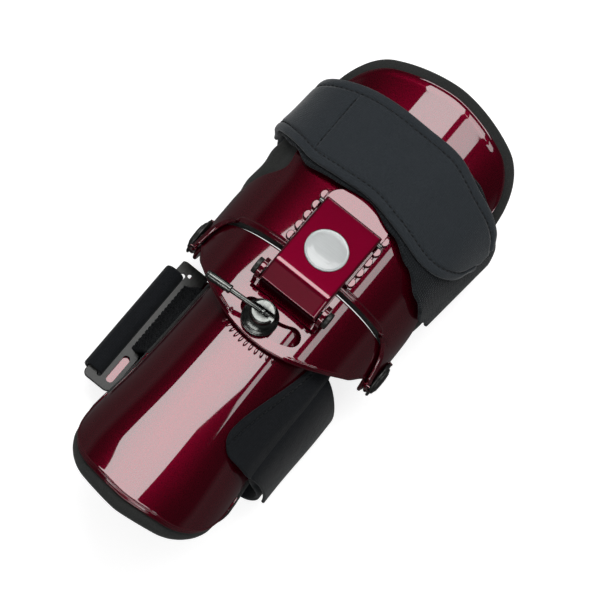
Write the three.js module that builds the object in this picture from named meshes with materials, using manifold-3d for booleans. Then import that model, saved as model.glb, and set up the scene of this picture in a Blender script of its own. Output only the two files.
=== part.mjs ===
// Bowling wrist support: a hinged pair of arched metal shells for the back of the forearm and hand.
// Millimetres, +X to the thumb side's opposite edge, +Y to the elbow, +Z up. Y = 0 is the wrist axis.
import * as THREE from "three";
import { mergeVertices } from "three/addons/utils/BufferGeometryUtils.js";
import Module from "manifold-3d";

const wasm = await Module();
wasm.setup();

// Driving dimensions
const GAP = 0.3; // between pieces that touch
const SHEET = 1.8; // metal of the shells
const RUNNING = 1; // between shells that slide over each other
const HINGE_HEIGHT = 30; // wrist axis above the table
const HINGE_HALF = 54.2; // outside of the forearm ears
const CROWN_RISE = 40; // crown of the forearm shell above the wrist axis
const ARCH_POWER = 2.3;
const EAR_RADIUS = 10;
const EAR_CUT = 0.95; // share of the ear radius kept below the axis
const FOREARM_REACH = 123;
const FOREARM_FRONT = 10; // front edge at the crown
const FOREARM_CORNER = 18;
const FOREARM_BOW = 13; // how far the shell's far end falls back from the crown to its sides
const PAD_CORNER = 22;
const PAD_BOW = 15;
const BOW_POWER = 1.6;
const PAD = 5; // foam thickness
const PAD_MARGIN = 6.5; // foam that shows round a shell
const PAD_START = 12.6; // foam of the forearm starts behind the saddle's ears
const SADDLE_FRONT = 36;
const SADDLE_REAR = 5.5;
const SADDLE_EAR = 9.5;
const SADDLE_CURVE = 0.0088; // front edge: this times the square of the distance from the crown
const PIVOT_Y = -1; // swing axis of the hand plate
const SLOT_RADIUS = 25.2;
const SLOT_WIDTH = 10;
const SLOT_START = -27; // slot end angles from the hand direction, degrees
const SLOT_END = 29;
const STUD_ANGLE = -10.5;
const STUD_RADIUS = 2.3;
const HAND_REACH = 134;
const HAND_REAR = 5;
const HAND_HALF = 41.5;
const HAND_POWER = 2.2;
const HAND_DEPTH = 28; // crown to side edge
const HAND_CORNER = 30;
const HAND_BOW = 12;
const HAND_PAD_BOW = 15;
const HAND_BOW_POWER = 1.5;
const HAND_TONGUE = 22; // corner radius at the hidden rear end
const SWING_ROOM = 1.2; // between hand plate and saddle
const RIVET_SHANK = 2.4;
const RIVET_HEAD = 7.5;
const WASHER_RADIUS = 9.6;
const WASHER = 1.3;
const HEAD_RISE = 1.9;
const RAIL_INSIDE = 17.2;
const RAIL = 1.5; // metal of the rack
const RAIL_HEIGHT = 6;
const RACK_START = 12.5;
const RACK_RAIL_END = 43;
const RACK_END = 53.5;
const NOTCH_PITCH = 6.6;
const NOTCHES = 4;
const NOTCH_RADIUS = 2.7;
const PIN_RADIUS = 1.5;
const PIN_FIT = 0.35;
const BLOCK_HALF = 16.5;
const BLOCK_METAL = 1.6;
const BLOCK_REAR = 39.6;
const BLOCK_BEND = -2.9;
const BLOCK_FRONT = -12.6;
const BLOCK_TOP = 16.8; // bend of the top plate above the saddle's crown
const BLOCK_FALL = 4.2; // fall of the top plate from its bend to its rear end
const BEND_REACH = 3.2; // half length of the rounded bend
const BLOCK_DROP = 5.4; // fall of the sloping front
const LATCH_PIN_BACK = 3; // latch pin ahead of the block's rear end
const LUG_Y = -7.6;
const LUG_RISE = 5.8; // cross bolt above the saddle's crown
const LUG_METAL = 2.2;
const LUG_BASE = 1.2;
const LUG_EAR = 6;
const LUG_FRONT = -14.6;
const LUG_REAR = -2;
const BOLT_RADIUS = 1.8;
const BOLT_HEAD = 4.4;
const BOLT_HEAD_LENGTH = 2.4;
const BADGE_RADIUS = 10.8;
const BADGE_Y = 16.4;
const BADGE_POCKET = 0.8;
const BADGE = 1;
const KNOB_RADIUS = 9.1;
const KNOB_BASE = 4;
const KNOB_NECK = 3.5;
const KNOB_TOP_RADIUS = 6.2;
const KNOB_TOP = 4.4;
const KNOB_SLOT = 3.4;
const LEVER_ANGLE = 184; // lever direction seen from above, degrees from +X
const LEVER_ROD = 1.3;
const LEVER_GRIP = 2.2;
const LEVER_REACH = 32;
const LEVER_GRIP_LENGTH = 14;
const BRACKET_TOP = 17.5;
const BRACKET_METAL = 1.6;
const BRACKET_HALF = HAND_HALF + 15.3; // outer bar of the palm bracket
const BAR_WIDTH = 5.4;
const STRAP_SLOT = 2.6;
const INNER_BAR = 3;
const BRACKET_REAR = -9.5;
const BRACKET_FRONT = -86;
const BRACKET_LOWER = 25; // length of the lower end plate
const BRACKET_UPPER = 10;
const CLOTH = 2.2; // forearm strap
const FLAP = 2.4;
const STRAP_HALF = HINGE_HALF + 2.8; // inside half width of the forearm strap
const STRAP_SKEW = 0.09; // sideways shift of the band's sides for each millimetre along the arm
const STRAP_MIDDLE = 63; // where the skewed band is centred
const STRAP_TOP = HINGE_HEIGHT + CROWN_RISE + 2.3; // inside top of the forearm strap above the table
const PALM_CLOTH = 1.8;
const PALM_HALF = HAND_HALF + 5.5;

const CROWN = HINGE_HEIGHT + CROWN_RISE;
const SADDLE_OFFSET = SHEET + RUNNING; // saddle's outside below the forearm arch
const SADDLE_HALF = HINGE_HALF - SADDLE_OFFSET;
const SADDLE_CROWN = CROWN - SADDLE_OFFSET;
const HAND_CROWN = SADDLE_CROWN - SHEET - SWING_ROOM;
const BLOCK_CROWN = SADDLE_CROWN + BLOCK_TOP;
const RACK_BASE = CROWN + GAP;
const LUG_Z = SADDLE_CROWN + LUG_RISE;
const PAD_OFFSET = SHEET + 2 * GAP;

// Sections: shares of the reach, of the half width and of the crown's rise
const FOREARM_ROWS = [
  { along: 0.0, half: 1.0, edge: 0.0, foam: 0 },
  { along: 0.1, half: 1.0, edge: 0.03, foam: 0 },
  { along: 0.2, half: 1.0, edge: 0.15, foam: 5 },
  { along: 0.32, half: 1.0, edge: 0.4, foam: 9 },
  { along: 0.45, half: 1.03, edge: 0.59, foam: 10.5 },
  { along: 0.75, half: 1.08, edge: 0.66, foam: 10.5 },
  { along: 1.0, half: 1.08, edge: 0.66, foam: 10 },
];
const HAND_ROWS = [
  { along: -0.05, half: 0.86, edge: 0.0 },
  { along: 0.2, half: 0.87, edge: 0.0 },
  { along: 0.55, half: 0.91, edge: 0.0 },
  { along: 0.85, half: 1.0, edge: 0.0 },
  { along: 1.0, half: 0.97, edge: 0.0 },
];
// Forearm strap: ring points as shares of its half width and height, with the band's two edges
// as shares of the forearm's reach
const STRAP_ROWS = [
  { across: 0.0, up: 1.0, lower: 0.43, upper: 0.795 },
  { across: 0.32, up: 0.998, lower: 0.382, upper: 0.79 },
  { across: 0.58, up: 0.925, lower: 0.333, upper: 0.775 },
  { across: 0.79, up: 0.84, lower: 0.272, upper: 0.74 },
  { across: 0.94, up: 0.68, lower: 0.25, upper: 0.69 },
  { across: 1.0, up: 0.45, lower: 0.3, upper: 0.66 },
  { across: 0.93, up: 0.18, lower: 0.36, upper: 0.7 },
  { across: 0.7, up: 0.045, lower: 0.42, upper: 0.76 },
  { across: 0.4, up: 0.03, lower: 0.46, upper: 0.8 },
  { across: 0.0, up: 0.03, lower: 0.49, upper: 0.82 },
  { across: -0.4, up: 0.03, lower: 0.51, upper: 0.82 },
  { across: -0.7, up: 0.045, lower: 0.52, upper: 0.81 },
  { across: -0.9, up: 0.18, lower: 0.53, upper: 0.79 },
  { across: -0.96, up: 0.45, lower: 0.52, upper: 0.76 },
  { across: -0.95, up: 0.68, lower: 0.49, upper: 0.76 },
  { across: -0.79, up: 0.84, lower: 0.452, upper: 0.775 },
  { across: -0.58, up: 0.925, lower: 0.405, upper: 0.795 },
  { across: -0.32, up: 0.998, lower: 0.41, upper: 0.795 },
];
const FLAP_ROWS = [
  { at: -0.29, lower: 0.525, upper: 0.755 },
  { at: -0.222, lower: 0.496, upper: 0.76 },
  { at: -0.167, lower: 0.462, upper: 0.775 },
  { at: -0.111, lower: 0.428, upper: 0.795 },
  { at: -0.056, lower: 0.423, upper: 0.797 },
  { at: 0.0, lower: 0.432, upper: 0.797 },
  { at: 0.056, lower: 0.4, upper: 0.79 },
  { at: 0.111, lower: 0.377, upper: 0.752 },
  { at: 0.15, lower: 0.381, upper: 0.732 },
  { at: 0.178, lower: 0.41, upper: 0.719 },
  { at: 0.202, lower: 0.457, upper: 0.7 },
  { at: 0.22, lower: 0.53, upper: 0.672 },
];
// Palm strap's middle line: shares of its half width and of the wrist axis height
const PALM_ROWS = [
  { across: 0.81, up: 1.45 },
  { across: 0.86, up: 1.16 },
  { across: 0.955, up: 0.85 },
  { across: 0.965, up: 0.5 },
  { across: 0.85, up: 0.16 },
  { across: 0.55, up: 0.03 },
  { across: 0.0, up: 0.029 },
  { across: -0.55, up: 0.03 },
  { across: -0.95, up: 0.16 },
];

const clamp = (value, low, high) => Math.min(high, Math.max(low, value));
const smooth = (from, to, at) => {
  const k = clamp((at - from) / (to - from), 0, 1);
  return k * k * (3 - 2 * k);
};

// Value of one column of a table, eased from row to row
function column(rows, key, by, at) {
  const last = rows.length - 1;
  let i = 0;
  while (i < last - 1 && rows[i + 1][by] < at) i += 1;
  const a = rows[i];
  const b = rows[i + 1];
  const k = clamp((at - a[by]) / (b[by] - a[by]), 0, 1);
  const slope = (j) => {
    if (j <= 0 || j >= last) return 0;
    return (rows[j + 1][key] - rows[j - 1][key]) / (rows[j + 1][by] - rows[j - 1][by]);
  };
  const span = b[by] - a[by];
  const k2 = k * k;
  const k3 = k2 * k;
  return (2 * k3 - 3 * k2 + 1) * a[key] + (k3 - 2 * k2 + k) * span * slope(i)
    + (3 * k2 - 2 * k3) * b[key] + (k3 - k2) * span * slope(i + 1);
}

// Half an arch from the crown down: a superellipse quarter, then straight down
function archProfile({ half, rise, base, power }) {
  const steps = 48;
  const points = [];
  for (let i = 0; i <= steps; i += 1) {
    const angle = (i / steps) * Math.PI / 2;
    points.push({
      x: half * Math.sin(angle) ** (2 / power),
      z: base + rise * Math.max(0, Math.cos(angle)) ** (2 / power),
    });
  }
  let length = 0;
  points[0].d = 0;
  for (let i = 1; i <= steps; i += 1) {
    length += Math.hypot(points[i].x - points[i - 1].x, points[i].z - points[i - 1].z);
    points[i].d = length;
  }
  return points;
}

// Point of an arch at a signed distance from its crown, measured round the arch
function archPoint(section, distance) {
  const profile = archProfile(section);
  const far = Math.abs(distance);
  const last = profile[profile.length - 1];
  const side = Math.sign(distance);
  if (far >= last.d) return { x: side * section.half, z: section.base - (far - last.d) };
  let i = 1;
  while (profile[i].d < far) i += 1;
  const a = profile[i - 1];
  const b = profile[i];
  const k = (far - a.d) / (b.d - a.d);
  return { x: side * (a.x + k * (b.x - a.x)), z: a.z + k * (b.z - a.z) };
}

// Distance round an arch from the crown to a height
function archReach(section, height) {
  const profile = archProfile(section);
  const last = profile[profile.length - 1];
  if (height <= section.base) return last.d + section.base - height;
  let i = 1;
  while (i < profile.length - 1 && profile[i].z > height) i += 1;
  const a = profile[i - 1];
  const b = profile[i];
  return a.d + (b.d - a.d) * (a.z - height) / (a.z - b.z);
}

function toGeometry(positions, faces) {
  const geometry = new THREE.BufferGeometry();
  geometry.setAttribute("position", new THREE.Float32BufferAttribute(positions, 3));
  geometry.setIndex(faces);
  return geometry;
}

// Closed sheet: a surface of two parameters, thickened along its normal from one offset to another
function sheet(surface, across, along, outside, inside, closed = false) {
  const positions = [];
  const faces = [];
  const columns = closed ? across : across + 1;
  const rows = along + 1;
  const step = 1e-3;
  for (const offset of [outside, inside]) {
    for (let i = 0; i < columns; i += 1) {
      for (let j = 0; j < rows; j += 1) {
        const u = i / across;
        const v = j / along;
        const du = surface(u + step, v).sub(surface(u - step, v));
        const dv = surface(u, Math.min(1, v + step)).sub(surface(u, Math.max(0, v - step)));
        const normal = du.cross(dv).normalize();
        const point = surface(u, v).addScaledVector(normal, offset);
        positions.push(point.x, point.y, point.z);
      }
    }
  }
  const layer = columns * rows;
  const at = (i, j, k) => k * layer + (i % columns) * rows + j;
  const quad = (a, b, c, d) => faces.push(a, b, c, a, c, d);
  for (let i = 0; i < across; i += 1) {
    for (let j = 0; j < along; j += 1) {
      quad(at(i, j, 0), at(i + 1, j, 0), at(i + 1, j + 1, 0), at(i, j + 1, 0));
      quad(at(i, j, 1), at(i, j + 1, 1), at(i + 1, j + 1, 1), at(i + 1, j, 1));
    }
    quad(at(i, 0, 0), at(i, 0, 1), at(i + 1, 0, 1), at(i + 1, 0, 0));
    quad(at(i, along, 0), at(i + 1, along, 0), at(i + 1, along, 1), at(i, along, 1));
  }
  for (let j = 0; j < along && !closed; j += 1) {
    quad(at(0, j, 0), at(0, j + 1, 0), at(0, j + 1, 1), at(0, j, 1));
    quad(at(across, j, 0), at(across, j, 1), at(across, j + 1, 1), at(across, j + 1, 0));
  }
  return toGeometry(positions, faces);
}

function solid(geometry) {
  const bare = geometry.clone();
  bare.deleteAttribute("normal");
  bare.deleteAttribute("uv");
  const merged = mergeVertices(bare, 1e-4);
  return new wasm.Manifold(new wasm.Mesh({
    numProp: 3,
    vertProperties: new Float32Array(merged.attributes.position.array),
    triVerts: new Uint32Array(merged.index.array),
  }));
}

function unsolid(body) {
  const mesh = body.getMesh();
  return toGeometry(Array.from(mesh.vertProperties), Array.from(mesh.triVerts));
}

const cut = (geometry, ...tools) => unsolid(tools.reduce((a, tool) => a.subtract(solid(tool)), solid(geometry)));
const join = (geometry, ...others) => unsolid(others.reduce((a, other) => a.add(solid(other)), solid(geometry)));

function rodX(radius, from, to, y, z, sides = 20) {
  return new THREE.CylinderGeometry(radius, radius, to - from, sides)
    .rotateZ(Math.PI / 2).translate((from + to) / 2, y, z);
}

function rodZ(radius, from, to, x, y, sides = 24) {
  return new THREE.CylinderGeometry(radius, radius, to - from, sides)
    .rotateX(Math.PI / 2).translate(x, y, (from + to) / 2);
}

function box(x0, x1, y0, y1, z0, z1) {
  return new THREE.BoxGeometry(x1 - x0, y1 - y0, z1 - z0)
    .translate((x0 + x1) / 2, (y0 + y1) / 2, (z0 + z1) / 2);
}

function plate(outline, from, to, curveSegments = 8) {
  return new THREE.ExtrudeGeometry(outline, { depth: to - from, bevelEnabled: false, curveSegments })
    .translate(0, 0, from);
}

// Extrusion along X of an outline drawn in (Y, Z)
function plateX(outline, from, to, curveSegments = 6) {
  return new THREE.ExtrudeGeometry(outline, { depth: to - from, bevelEnabled: false, curveSegments })
    .rotateX(Math.PI / 2).rotateZ(Math.PI / 2).translate(from, 0, 0);
}

function turned(profile, sides = 28) {
  const points = profile.map(([radius, height]) => new THREE.Vector2(radius, height));
  return new THREE.LatheGeometry(points, sides).rotateX(Math.PI / 2);
}

// Forearm shell
const hingeSection = { half: HINGE_HALF, rise: CROWN_RISE, base: HINGE_HEIGHT, power: ARCH_POWER };
const hingeArc = archReach(hingeSection, HINGE_HEIGHT);

function forearmSection(y) {
  const along = y / FOREARM_REACH;
  const share = column(FOREARM_ROWS, "half", "along", along);
  return { ...hingeSection, half: HINGE_HALF * share };
}

function forearmEdge(y) {
  return HINGE_HEIGHT + CROWN_RISE * column(FOREARM_ROWS, "edge", "along", y / FOREARM_REACH);
}

function earDrop(y, radius) {
  return radius * Math.sqrt(Math.max(0, EAR_CUT * EAR_CUT - (y / radius) ** 2));
}

// Edge of a rounded ear, or a straight edge above it
function earFront(distance, radius, straight) {
  const off = Math.abs(distance) - hingeArc;
  const bulge = -Math.sqrt(Math.max(0, radius * radius - off * off));
  if (off > -0.7 * radius) return bulge;
  const k = smooth(-2.6 * radius, -0.7 * radius, off);
  return straight * (1 - k) - 0.714 * radius * k;
}

// How far an end falls back at a share of the width: a bow, then a round corner
function endCurve(share, length, corner, bow = 0, power = 1) {
  const over = Math.max(0, Math.abs(share) * length - (length - corner)) / corner;
  const round = corner * (1 - Math.sqrt(Math.max(0, 1 - over * over * 0.998)));
  return bow * Math.abs(share) ** power + round;
}

const FAR_SECTION = forearmSection(FOREARM_REACH);
const FAR_ARC = archReach(FAR_SECTION, forearmEdge(FOREARM_REACH));

function forearmSurface(u, v) {
  const w = clamp(2 * u - 1, -1, 1);
  const earArc = archReach(hingeSection, HINGE_HEIGHT - EAR_CUT * EAR_RADIUS);
  const front = earFront(w * earArc, EAR_RADIUS, FOREARM_FRONT);
  const rear = FOREARM_REACH - endCurve(w, FAR_ARC, FOREARM_CORNER, FOREARM_BOW, BOW_POWER);
  const y = front + (rear - front) * v ** 1.5;
  const section = forearmSection(y);
  const lower = forearmEdge(y) - earDrop(y, EAR_RADIUS);
  const point = archPoint(section, w * archReach(section, lower));
  return new THREE.Vector3(point.x, y, point.z);
}

function forearmPadSurface(u, v) {
  const w = clamp(2 * u - 1, -1, 1);
  const farMargin = column(FOREARM_ROWS, "foam", "along", 1);
  const rear = FOREARM_REACH + PAD_MARGIN
    - endCurve(w, FAR_ARC + farMargin, PAD_CORNER, PAD_BOW, BOW_POWER);
  const y = PAD_START + (rear - PAD_START) * v;
  const section = forearmSection(y);
  const margin = column(FOREARM_ROWS, "foam", "along", y / FOREARM_REACH);
  const point = archPoint(section, w * (archReach(section, forearmEdge(y)) + margin));
  return new THREE.Vector3(point.x, y, point.z);
}

// Saddle over the wrist
function saddleSurface(u, v) {
  const w = clamp(2 * u - 1, -1, 1);
  const length = hingeArc + EAR_CUT * SADDLE_EAR;
  const distance = w * length;
  const x = archPoint(hingeSection, distance).x;
  const front = earFront(distance, SADDLE_EAR, SADDLE_CURVE * x * x - SADDLE_FRONT);
  const rear = earFront(distance, SADDLE_EAR, -SADDLE_REAR);
  const y = front - (rear + front) * v;
  const point = archPoint(hingeSection, distance);
  return new THREE.Vector3(point.x, y, point.z);
}

function pivotPoint(radius, degrees) {
  const angle = THREE.MathUtils.degToRad(degrees);
  return new THREE.Vector2(radius * Math.sin(angle), PIVOT_Y - radius * Math.cos(angle));
}

function slotShape() {
  const shape = new THREE.Shape();
  const turn = (degrees) => THREE.MathUtils.degToRad(degrees - 90);
  const half = SLOT_WIDTH / 2;
  const from = pivotPoint(SLOT_RADIUS, SLOT_START);
  const to = pivotPoint(SLOT_RADIUS, SLOT_END);
  shape.absarc(0, PIVOT_Y, SLOT_RADIUS + half, turn(SLOT_START), turn(SLOT_END), false);
  shape.absarc(to.x, to.y, half, turn(SLOT_END), turn(SLOT_END + 180), false);
  shape.absarc(0, PIVOT_Y, SLOT_RADIUS - half, turn(SLOT_END), turn(SLOT_START), true);
  shape.absarc(from.x, from.y, half, turn(SLOT_START + 180), turn(SLOT_START + 360), false);
  return shape;
}

// Hand shell
function handSection(y) {
  const share = column(HAND_ROWS, "half", "along", -y / HAND_REACH);
  return {
    half: HAND_HALF * share, rise: HAND_CROWN - HINGE_HEIGHT, base: HINGE_HEIGHT, power: HAND_POWER,
  };
}

function handSurfaceWith(margin, bow, rearEnd, tongue) {
  return (u, v) => {
    const w = clamp(2 * u - 1, -1, 1);
    const nominal = archReach(handSection(-HAND_REACH / 2), HAND_CROWN - HAND_DEPTH);
    const front = -HAND_REACH - margin + endCurve(w, nominal, HAND_CORNER, bow, HAND_BOW_POWER);
    const rear = rearEnd - endCurve(w, nominal, tongue);
    const y = front + (rear - front) * v;
    const section = handSection(y);
    const point = archPoint(section, w * (archReach(section, HAND_CROWN - HAND_DEPTH) + margin));
    return new THREE.Vector3(point.x, y, point.z);
  };
}

const handSurface = handSurfaceWith(0, HAND_BOW, HAND_REAR, HAND_TONGUE);
const handPadSurface = handSurfaceWith(PAD_MARGIN - 1, HAND_PAD_BOW, HAND_REAR - GAP, HAND_TONGUE);

// Red tab that carries the palm bracket: down from the shell's edge, then out flat
function bracketTab(front, rear, outer) {
  const section = handSection((front + rear) / 2);
  const edge = archPoint(section, -archReach(section, HAND_CROWN - HAND_DEPTH));
  const top = BRACKET_TOP - BRACKET_METAL - GAP;
  const shape = new THREE.Shape();
  shape.moveTo(edge.x + SHEET * 0.15, edge.z + SHEET);
  shape.lineTo(edge.x - SHEET * 0.5, edge.z + SHEET);
  shape.lineTo(edge.x - SHEET, edge.z - SHEET);
  shape.lineTo(edge.x - 2 * SHEET, top);
  shape.lineTo(outer, top);
  shape.lineTo(outer, top - SHEET);
  shape.lineTo(edge.x - SHEET, top - SHEET);
  shape.lineTo(edge.x + SHEET * 0.15, edge.z - SHEET);
  return new THREE.ExtrudeGeometry(shape, { depth: rear - front, bevelEnabled: false })
    .rotateX(Math.PI / 2).translate(0, rear, 0);
}

// Palm bracket outline with its strap slot, its oblong slot and its small hole
const BAR_OUT = -BRACKET_HALF;
const SLOT_OUT = BAR_OUT + BAR_WIDTH;
const SLOT_IN = SLOT_OUT + STRAP_SLOT;
const BAR_IN = SLOT_IN + INNER_BAR;
const UPPER_IN = BAR_IN + 6.5;
const LOWER_IN = BAR_IN + 3;

function bracketShape() {
  const shape = new THREE.Shape();
  const upper = BRACKET_REAR - BRACKET_UPPER;
  const lower = BRACKET_FRONT + BRACKET_LOWER;
  shape.moveTo(BAR_OUT + 5, BRACKET_REAR);
  shape.lineTo(UPPER_IN, BRACKET_REAR);
  shape.lineTo(UPPER_IN, upper + 3);
  shape.absarc(UPPER_IN - 3, upper + 3, 3, 0, -Math.PI / 2, true);
  shape.lineTo(BAR_IN, upper - 2);
  shape.lineTo(BAR_IN, lower);
  shape.absarc(LOWER_IN - 3, lower - 3, 3, Math.PI / 2, 0, true);
  shape.absarc(LOWER_IN - 2, BRACKET_FRONT + 2, 2, 0, -Math.PI / 2, true);
  shape.lineTo(BAR_OUT + 2, BRACKET_FRONT);
  shape.lineTo(BAR_OUT, BRACKET_FRONT + 3);
  shape.lineTo(BAR_OUT, BRACKET_REAR - 6);
  const strap = new THREE.Path();
  strap.moveTo(SLOT_OUT, BRACKET_FRONT + 5);
  strap.lineTo(SLOT_IN, BRACKET_FRONT + 5);
  strap.lineTo(SLOT_IN, BRACKET_REAR - 7);
  strap.lineTo(SLOT_OUT, BRACKET_REAR - 7);
  shape.holes.push(strap);
  return shape;
}

function oblong(x, y, half, length) {
  const shape = new THREE.Shape();
  shape.absarc(x, y + length / 2, half, 0, Math.PI, false);
  shape.absarc(x, y - length / 2, half, Math.PI, 2 * Math.PI, false);
  return shape;
}

// Band carried round a loop of table rows
function ringCurve(half, height) {
  const points = STRAP_ROWS.map((row) => new THREE.Vector3(row.across * half, 0, row.up * height));
  return new THREE.CatmullRomCurve3(points, true, "centripetal");
}

const strapCurve = ringCurve(STRAP_HALF, STRAP_TOP);

function ringColumn(key, at) {
  const count = STRAP_ROWS.length;
  const place = ((at % 1) + 1) % 1 * count;
  const i = Math.floor(place) % count;
  const k = smooth(0, 1, place - Math.floor(place));
  return STRAP_ROWS[i][key] * (1 - k) + STRAP_ROWS[(i + 1) % count][key] * k;
}

// The band's sides lean along the arm, its top and underside don't
function skewed(point) {
  const share = smooth(0.85, 0.6, point.z / STRAP_TOP) * smooth(0.03, 0.2, point.z / STRAP_TOP);
  point.x += STRAP_SKEW * (point.y - STRAP_MIDDLE) * share;
  return point;
}

function strapSurface(u, v) {
  const point = strapCurve.getPoint((u % 1 + 1) % 1);
  const lower = ringColumn("lower", u) * FOREARM_REACH;
  const upper = ringColumn("upper", u) * FOREARM_REACH;
  point.y = lower + (upper - lower) * v;
  point.z = Math.max(point.z, CLOTH);
  return skewed(point);
}

function flapSurface(u, v) {
  const first = FLAP_ROWS[0].at;
  const last = FLAP_ROWS[FLAP_ROWS.length - 1].at;
  const at = first + (last - first) * u;
  const point = strapCurve.getPoint(((at % 1) + 1) % 1);
  const lower = column(FLAP_ROWS, "lower", "at", at) * FOREARM_REACH;
  const upper = column(FLAP_ROWS, "upper", "at", at) * FOREARM_REACH;
  point.y = lower + (upper - lower) * v;
  return skewed(point);
}

// Palm strap: from under the flap, down and along the table, then round the bracket's outer bar
function palmCurve() {
  const points = PALM_ROWS.map((row) => new THREE.Vector3(row.across * PALM_HALF, 0, row.up * HINGE_HEIGHT));
  const clear = PALM_CLOTH / 2 + GAP;
  const middle = BRACKET_TOP - BRACKET_METAL / 2;
  const high = BRACKET_TOP + clear + 0.3;
  points.push(new THREE.Vector3(BAR_OUT - clear, 0, middle - 4));
  points.push(new THREE.Vector3(BAR_OUT - clear, 0, middle + 0.5));
  points.push(new THREE.Vector3(BAR_OUT + 0.6, 0, high + 0.2));
  points.push(new THREE.Vector3(SLOT_OUT - 0.8, 0, high + 0.2));
  points.push(new THREE.Vector3(SLOT_OUT + STRAP_SLOT / 2, 0, middle + 0.6));
  points.push(new THREE.Vector3(SLOT_OUT + STRAP_SLOT / 2, 0, middle - 4));
  return new THREE.CatmullRomCurve3(points, false, "centripetal");
}

const palmPath = palmCurve();

function palmSurface(u, v) {
  const at = clamp(u, 0, 1);
  const point = palmPath.getPoint(at);
  const front = BRACKET_FRONT + 6 - smooth(0.2, 0, at) * 2;
  const rear = BRACKET_REAR - 8 - smooth(0.35, 0.1, at) * 7;
  point.y = front + (rear - front) * v;
  point.z = Math.max(point.z, PALM_CLOTH / 2);
  return point;
}

// Palm flap: lies on the hand shell's right flank and folds down beside the hand
function flankPoint(y, distance, offset) {
  const section = handSection(y);
  const step = 0.05;
  const a = archPoint(section, distance - step);
  const b = archPoint(section, distance + step);
  const point = archPoint(section, distance);
  const length = Math.hypot(b.x - a.x, b.z - a.z);
  return { x: point.x - offset * (b.z - a.z) / length, z: point.z + offset * (b.x - a.x) / length };
}

const FLAP_START = 23; // distance round the arch from the crown
const FLAP_LEAVES = 41; // where it leaves the flank
const FLAP_FOOT = 12; // height of its lower edge above the table
const FLAP_TOP_LIFT = 3.4; // clear of the strap end under it

function palmFlapSurface(u, v) {
  const at = clamp(u, 0, 1);
  const start = FLAP_START - 4 * smooth(0.2, 1, 1 - v);
  const front = BRACKET_FRONT + 1 + endCurve(1 - at, 1, 0.25) * 40 * (at < 0.25 ? 1 : 0);
  const rear = -20 - 5 * smooth(0.4, 0.9, at);
  const y = front + (rear - front) * v;
  if (at < 0.6) {
    const distance = start + (FLAP_LEAVES - start) * at / 0.6;
    const lift = 0.4 + (FLAP_TOP_LIFT - 0.4) * smooth(0.15, 0.45, at);
    const point = flankPoint(y, distance, lift);
    return new THREE.Vector3(point.x, y, point.z);
  }
  const from = flankPoint(y, FLAP_LEAVES, FLAP_TOP_LIFT);
  const k = (at - 0.6) / 0.4;
  const x = from.x + (PALM_HALF + 0.9 - from.x) * Math.sin(k * Math.PI / 2);
  const z = from.z + (FLAP_FOOT - from.z) * (1 - Math.cos(k * Math.PI / 2)) ** 0.8;
  return new THREE.Vector3(x, y, z);
}

// Soft mesh between the hand shell's edge and the bracket
function meshPadSurface(u, v) {
  const section = handSection(-40);
  const edge = archPoint(section, -archReach(section, HAND_CROWN - HAND_DEPTH));
  const x = BAR_IN + GAP + (edge.x - BAR_IN - 4 * GAP) * u;
  const from = BRACKET_TOP - BRACKET_METAL / 2;
  const z = from + (HINGE_HEIGHT - 1 - from) * smooth(0, 1, u);
  const rear = BRACKET_REAR - BRACKET_UPPER - 3;
  const front = BRACKET_FRONT + BRACKET_LOWER + 3;
  return new THREE.Vector3(x, front + (rear - front) * v, z);
}

// Latch block: bent channel, open below and at both ends
function blockOutline(inset) {
  const top = BLOCK_CROWN - inset;
  const slope = Math.atan2(BLOCK_DROP, BLOCK_BEND - BLOCK_FRONT);
  const front = BLOCK_FRONT - (inset ? 1 : 0);
  const rear = BLOCK_REAR + (inset ? 1 : 0);
  const shape = new THREE.Shape();
  const frontTop = top - (BLOCK_BEND - front) * Math.tan(slope);
  const fall = BLOCK_FALL / (BLOCK_REAR - BLOCK_BEND);
  const low = CROWN + GAP + RAIL + 0.5;
  const wrap = LUG_RISE - LUG_BASE - 2 * GAP;
  shape.moveTo(front, frontTop);
  shape.lineTo(BLOCK_BEND - BEND_REACH, top - BEND_REACH * Math.tan(slope));
  shape.quadraticCurveTo(BLOCK_BEND, top, BLOCK_BEND + BEND_REACH, top - BEND_REACH * fall);
  shape.lineTo(rear, top - (rear - BLOCK_BEND) * fall);
  shape.lineTo(rear, low - (inset ? 12 : 0));
  if (inset) {
    shape.lineTo(front, low - 12);
  } else {
    shape.lineTo(rear - 2, low);
    shape.lineTo(LUG_Y + 10, low);
    shape.absarc(LUG_Y, LUG_Z, wrap, -Math.PI / 3, -Math.PI, true);
    shape.lineTo(front, frontTop - 2.2);
  }
  return shape;
}

// Disc on the block's sloping top, from one height above it to another
function badgeDisc(radius, from, to) {
  const fall = BLOCK_FALL / (BLOCK_REAR - BLOCK_BEND);
  return rodZ(radius, from, to, 0, 0, 28).rotateX(-Math.atan(fall))
    .translate(0, BADGE_Y, BLOCK_CROWN - (BADGE_Y - BLOCK_BEND) * fall);
}

function latchBlock() {
  const inner = BLOCK_HALF - BLOCK_METAL;
  const outer = plateX(blockOutline(0), -BLOCK_HALF, BLOCK_HALF);
  const hollow = plateX(blockOutline(BLOCK_METAL), -inner, inner);
  const pocket = badgeDisc(BADGE_RADIUS + GAP, -BADGE_POCKET, 2);
  const bolt = rodX(BOLT_RADIUS + GAP, -BLOCK_HALF - 1, BLOCK_HALF + 1, LUG_Y, LUG_Z);
  const pin = rodX(PIN_RADIUS + GAP, -BLOCK_HALF - 1, BLOCK_HALF + 1, LATCH_PIN_Y, LATCH_PIN_Z);
  return cut(outer, hollow, pocket, bolt, pin);
}

const LATCH_PIN_Y = BLOCK_REAR - LATCH_PIN_BACK;
const LATCH_PIN_Z = RACK_BASE + RAIL_HEIGHT - 0.4;

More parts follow.
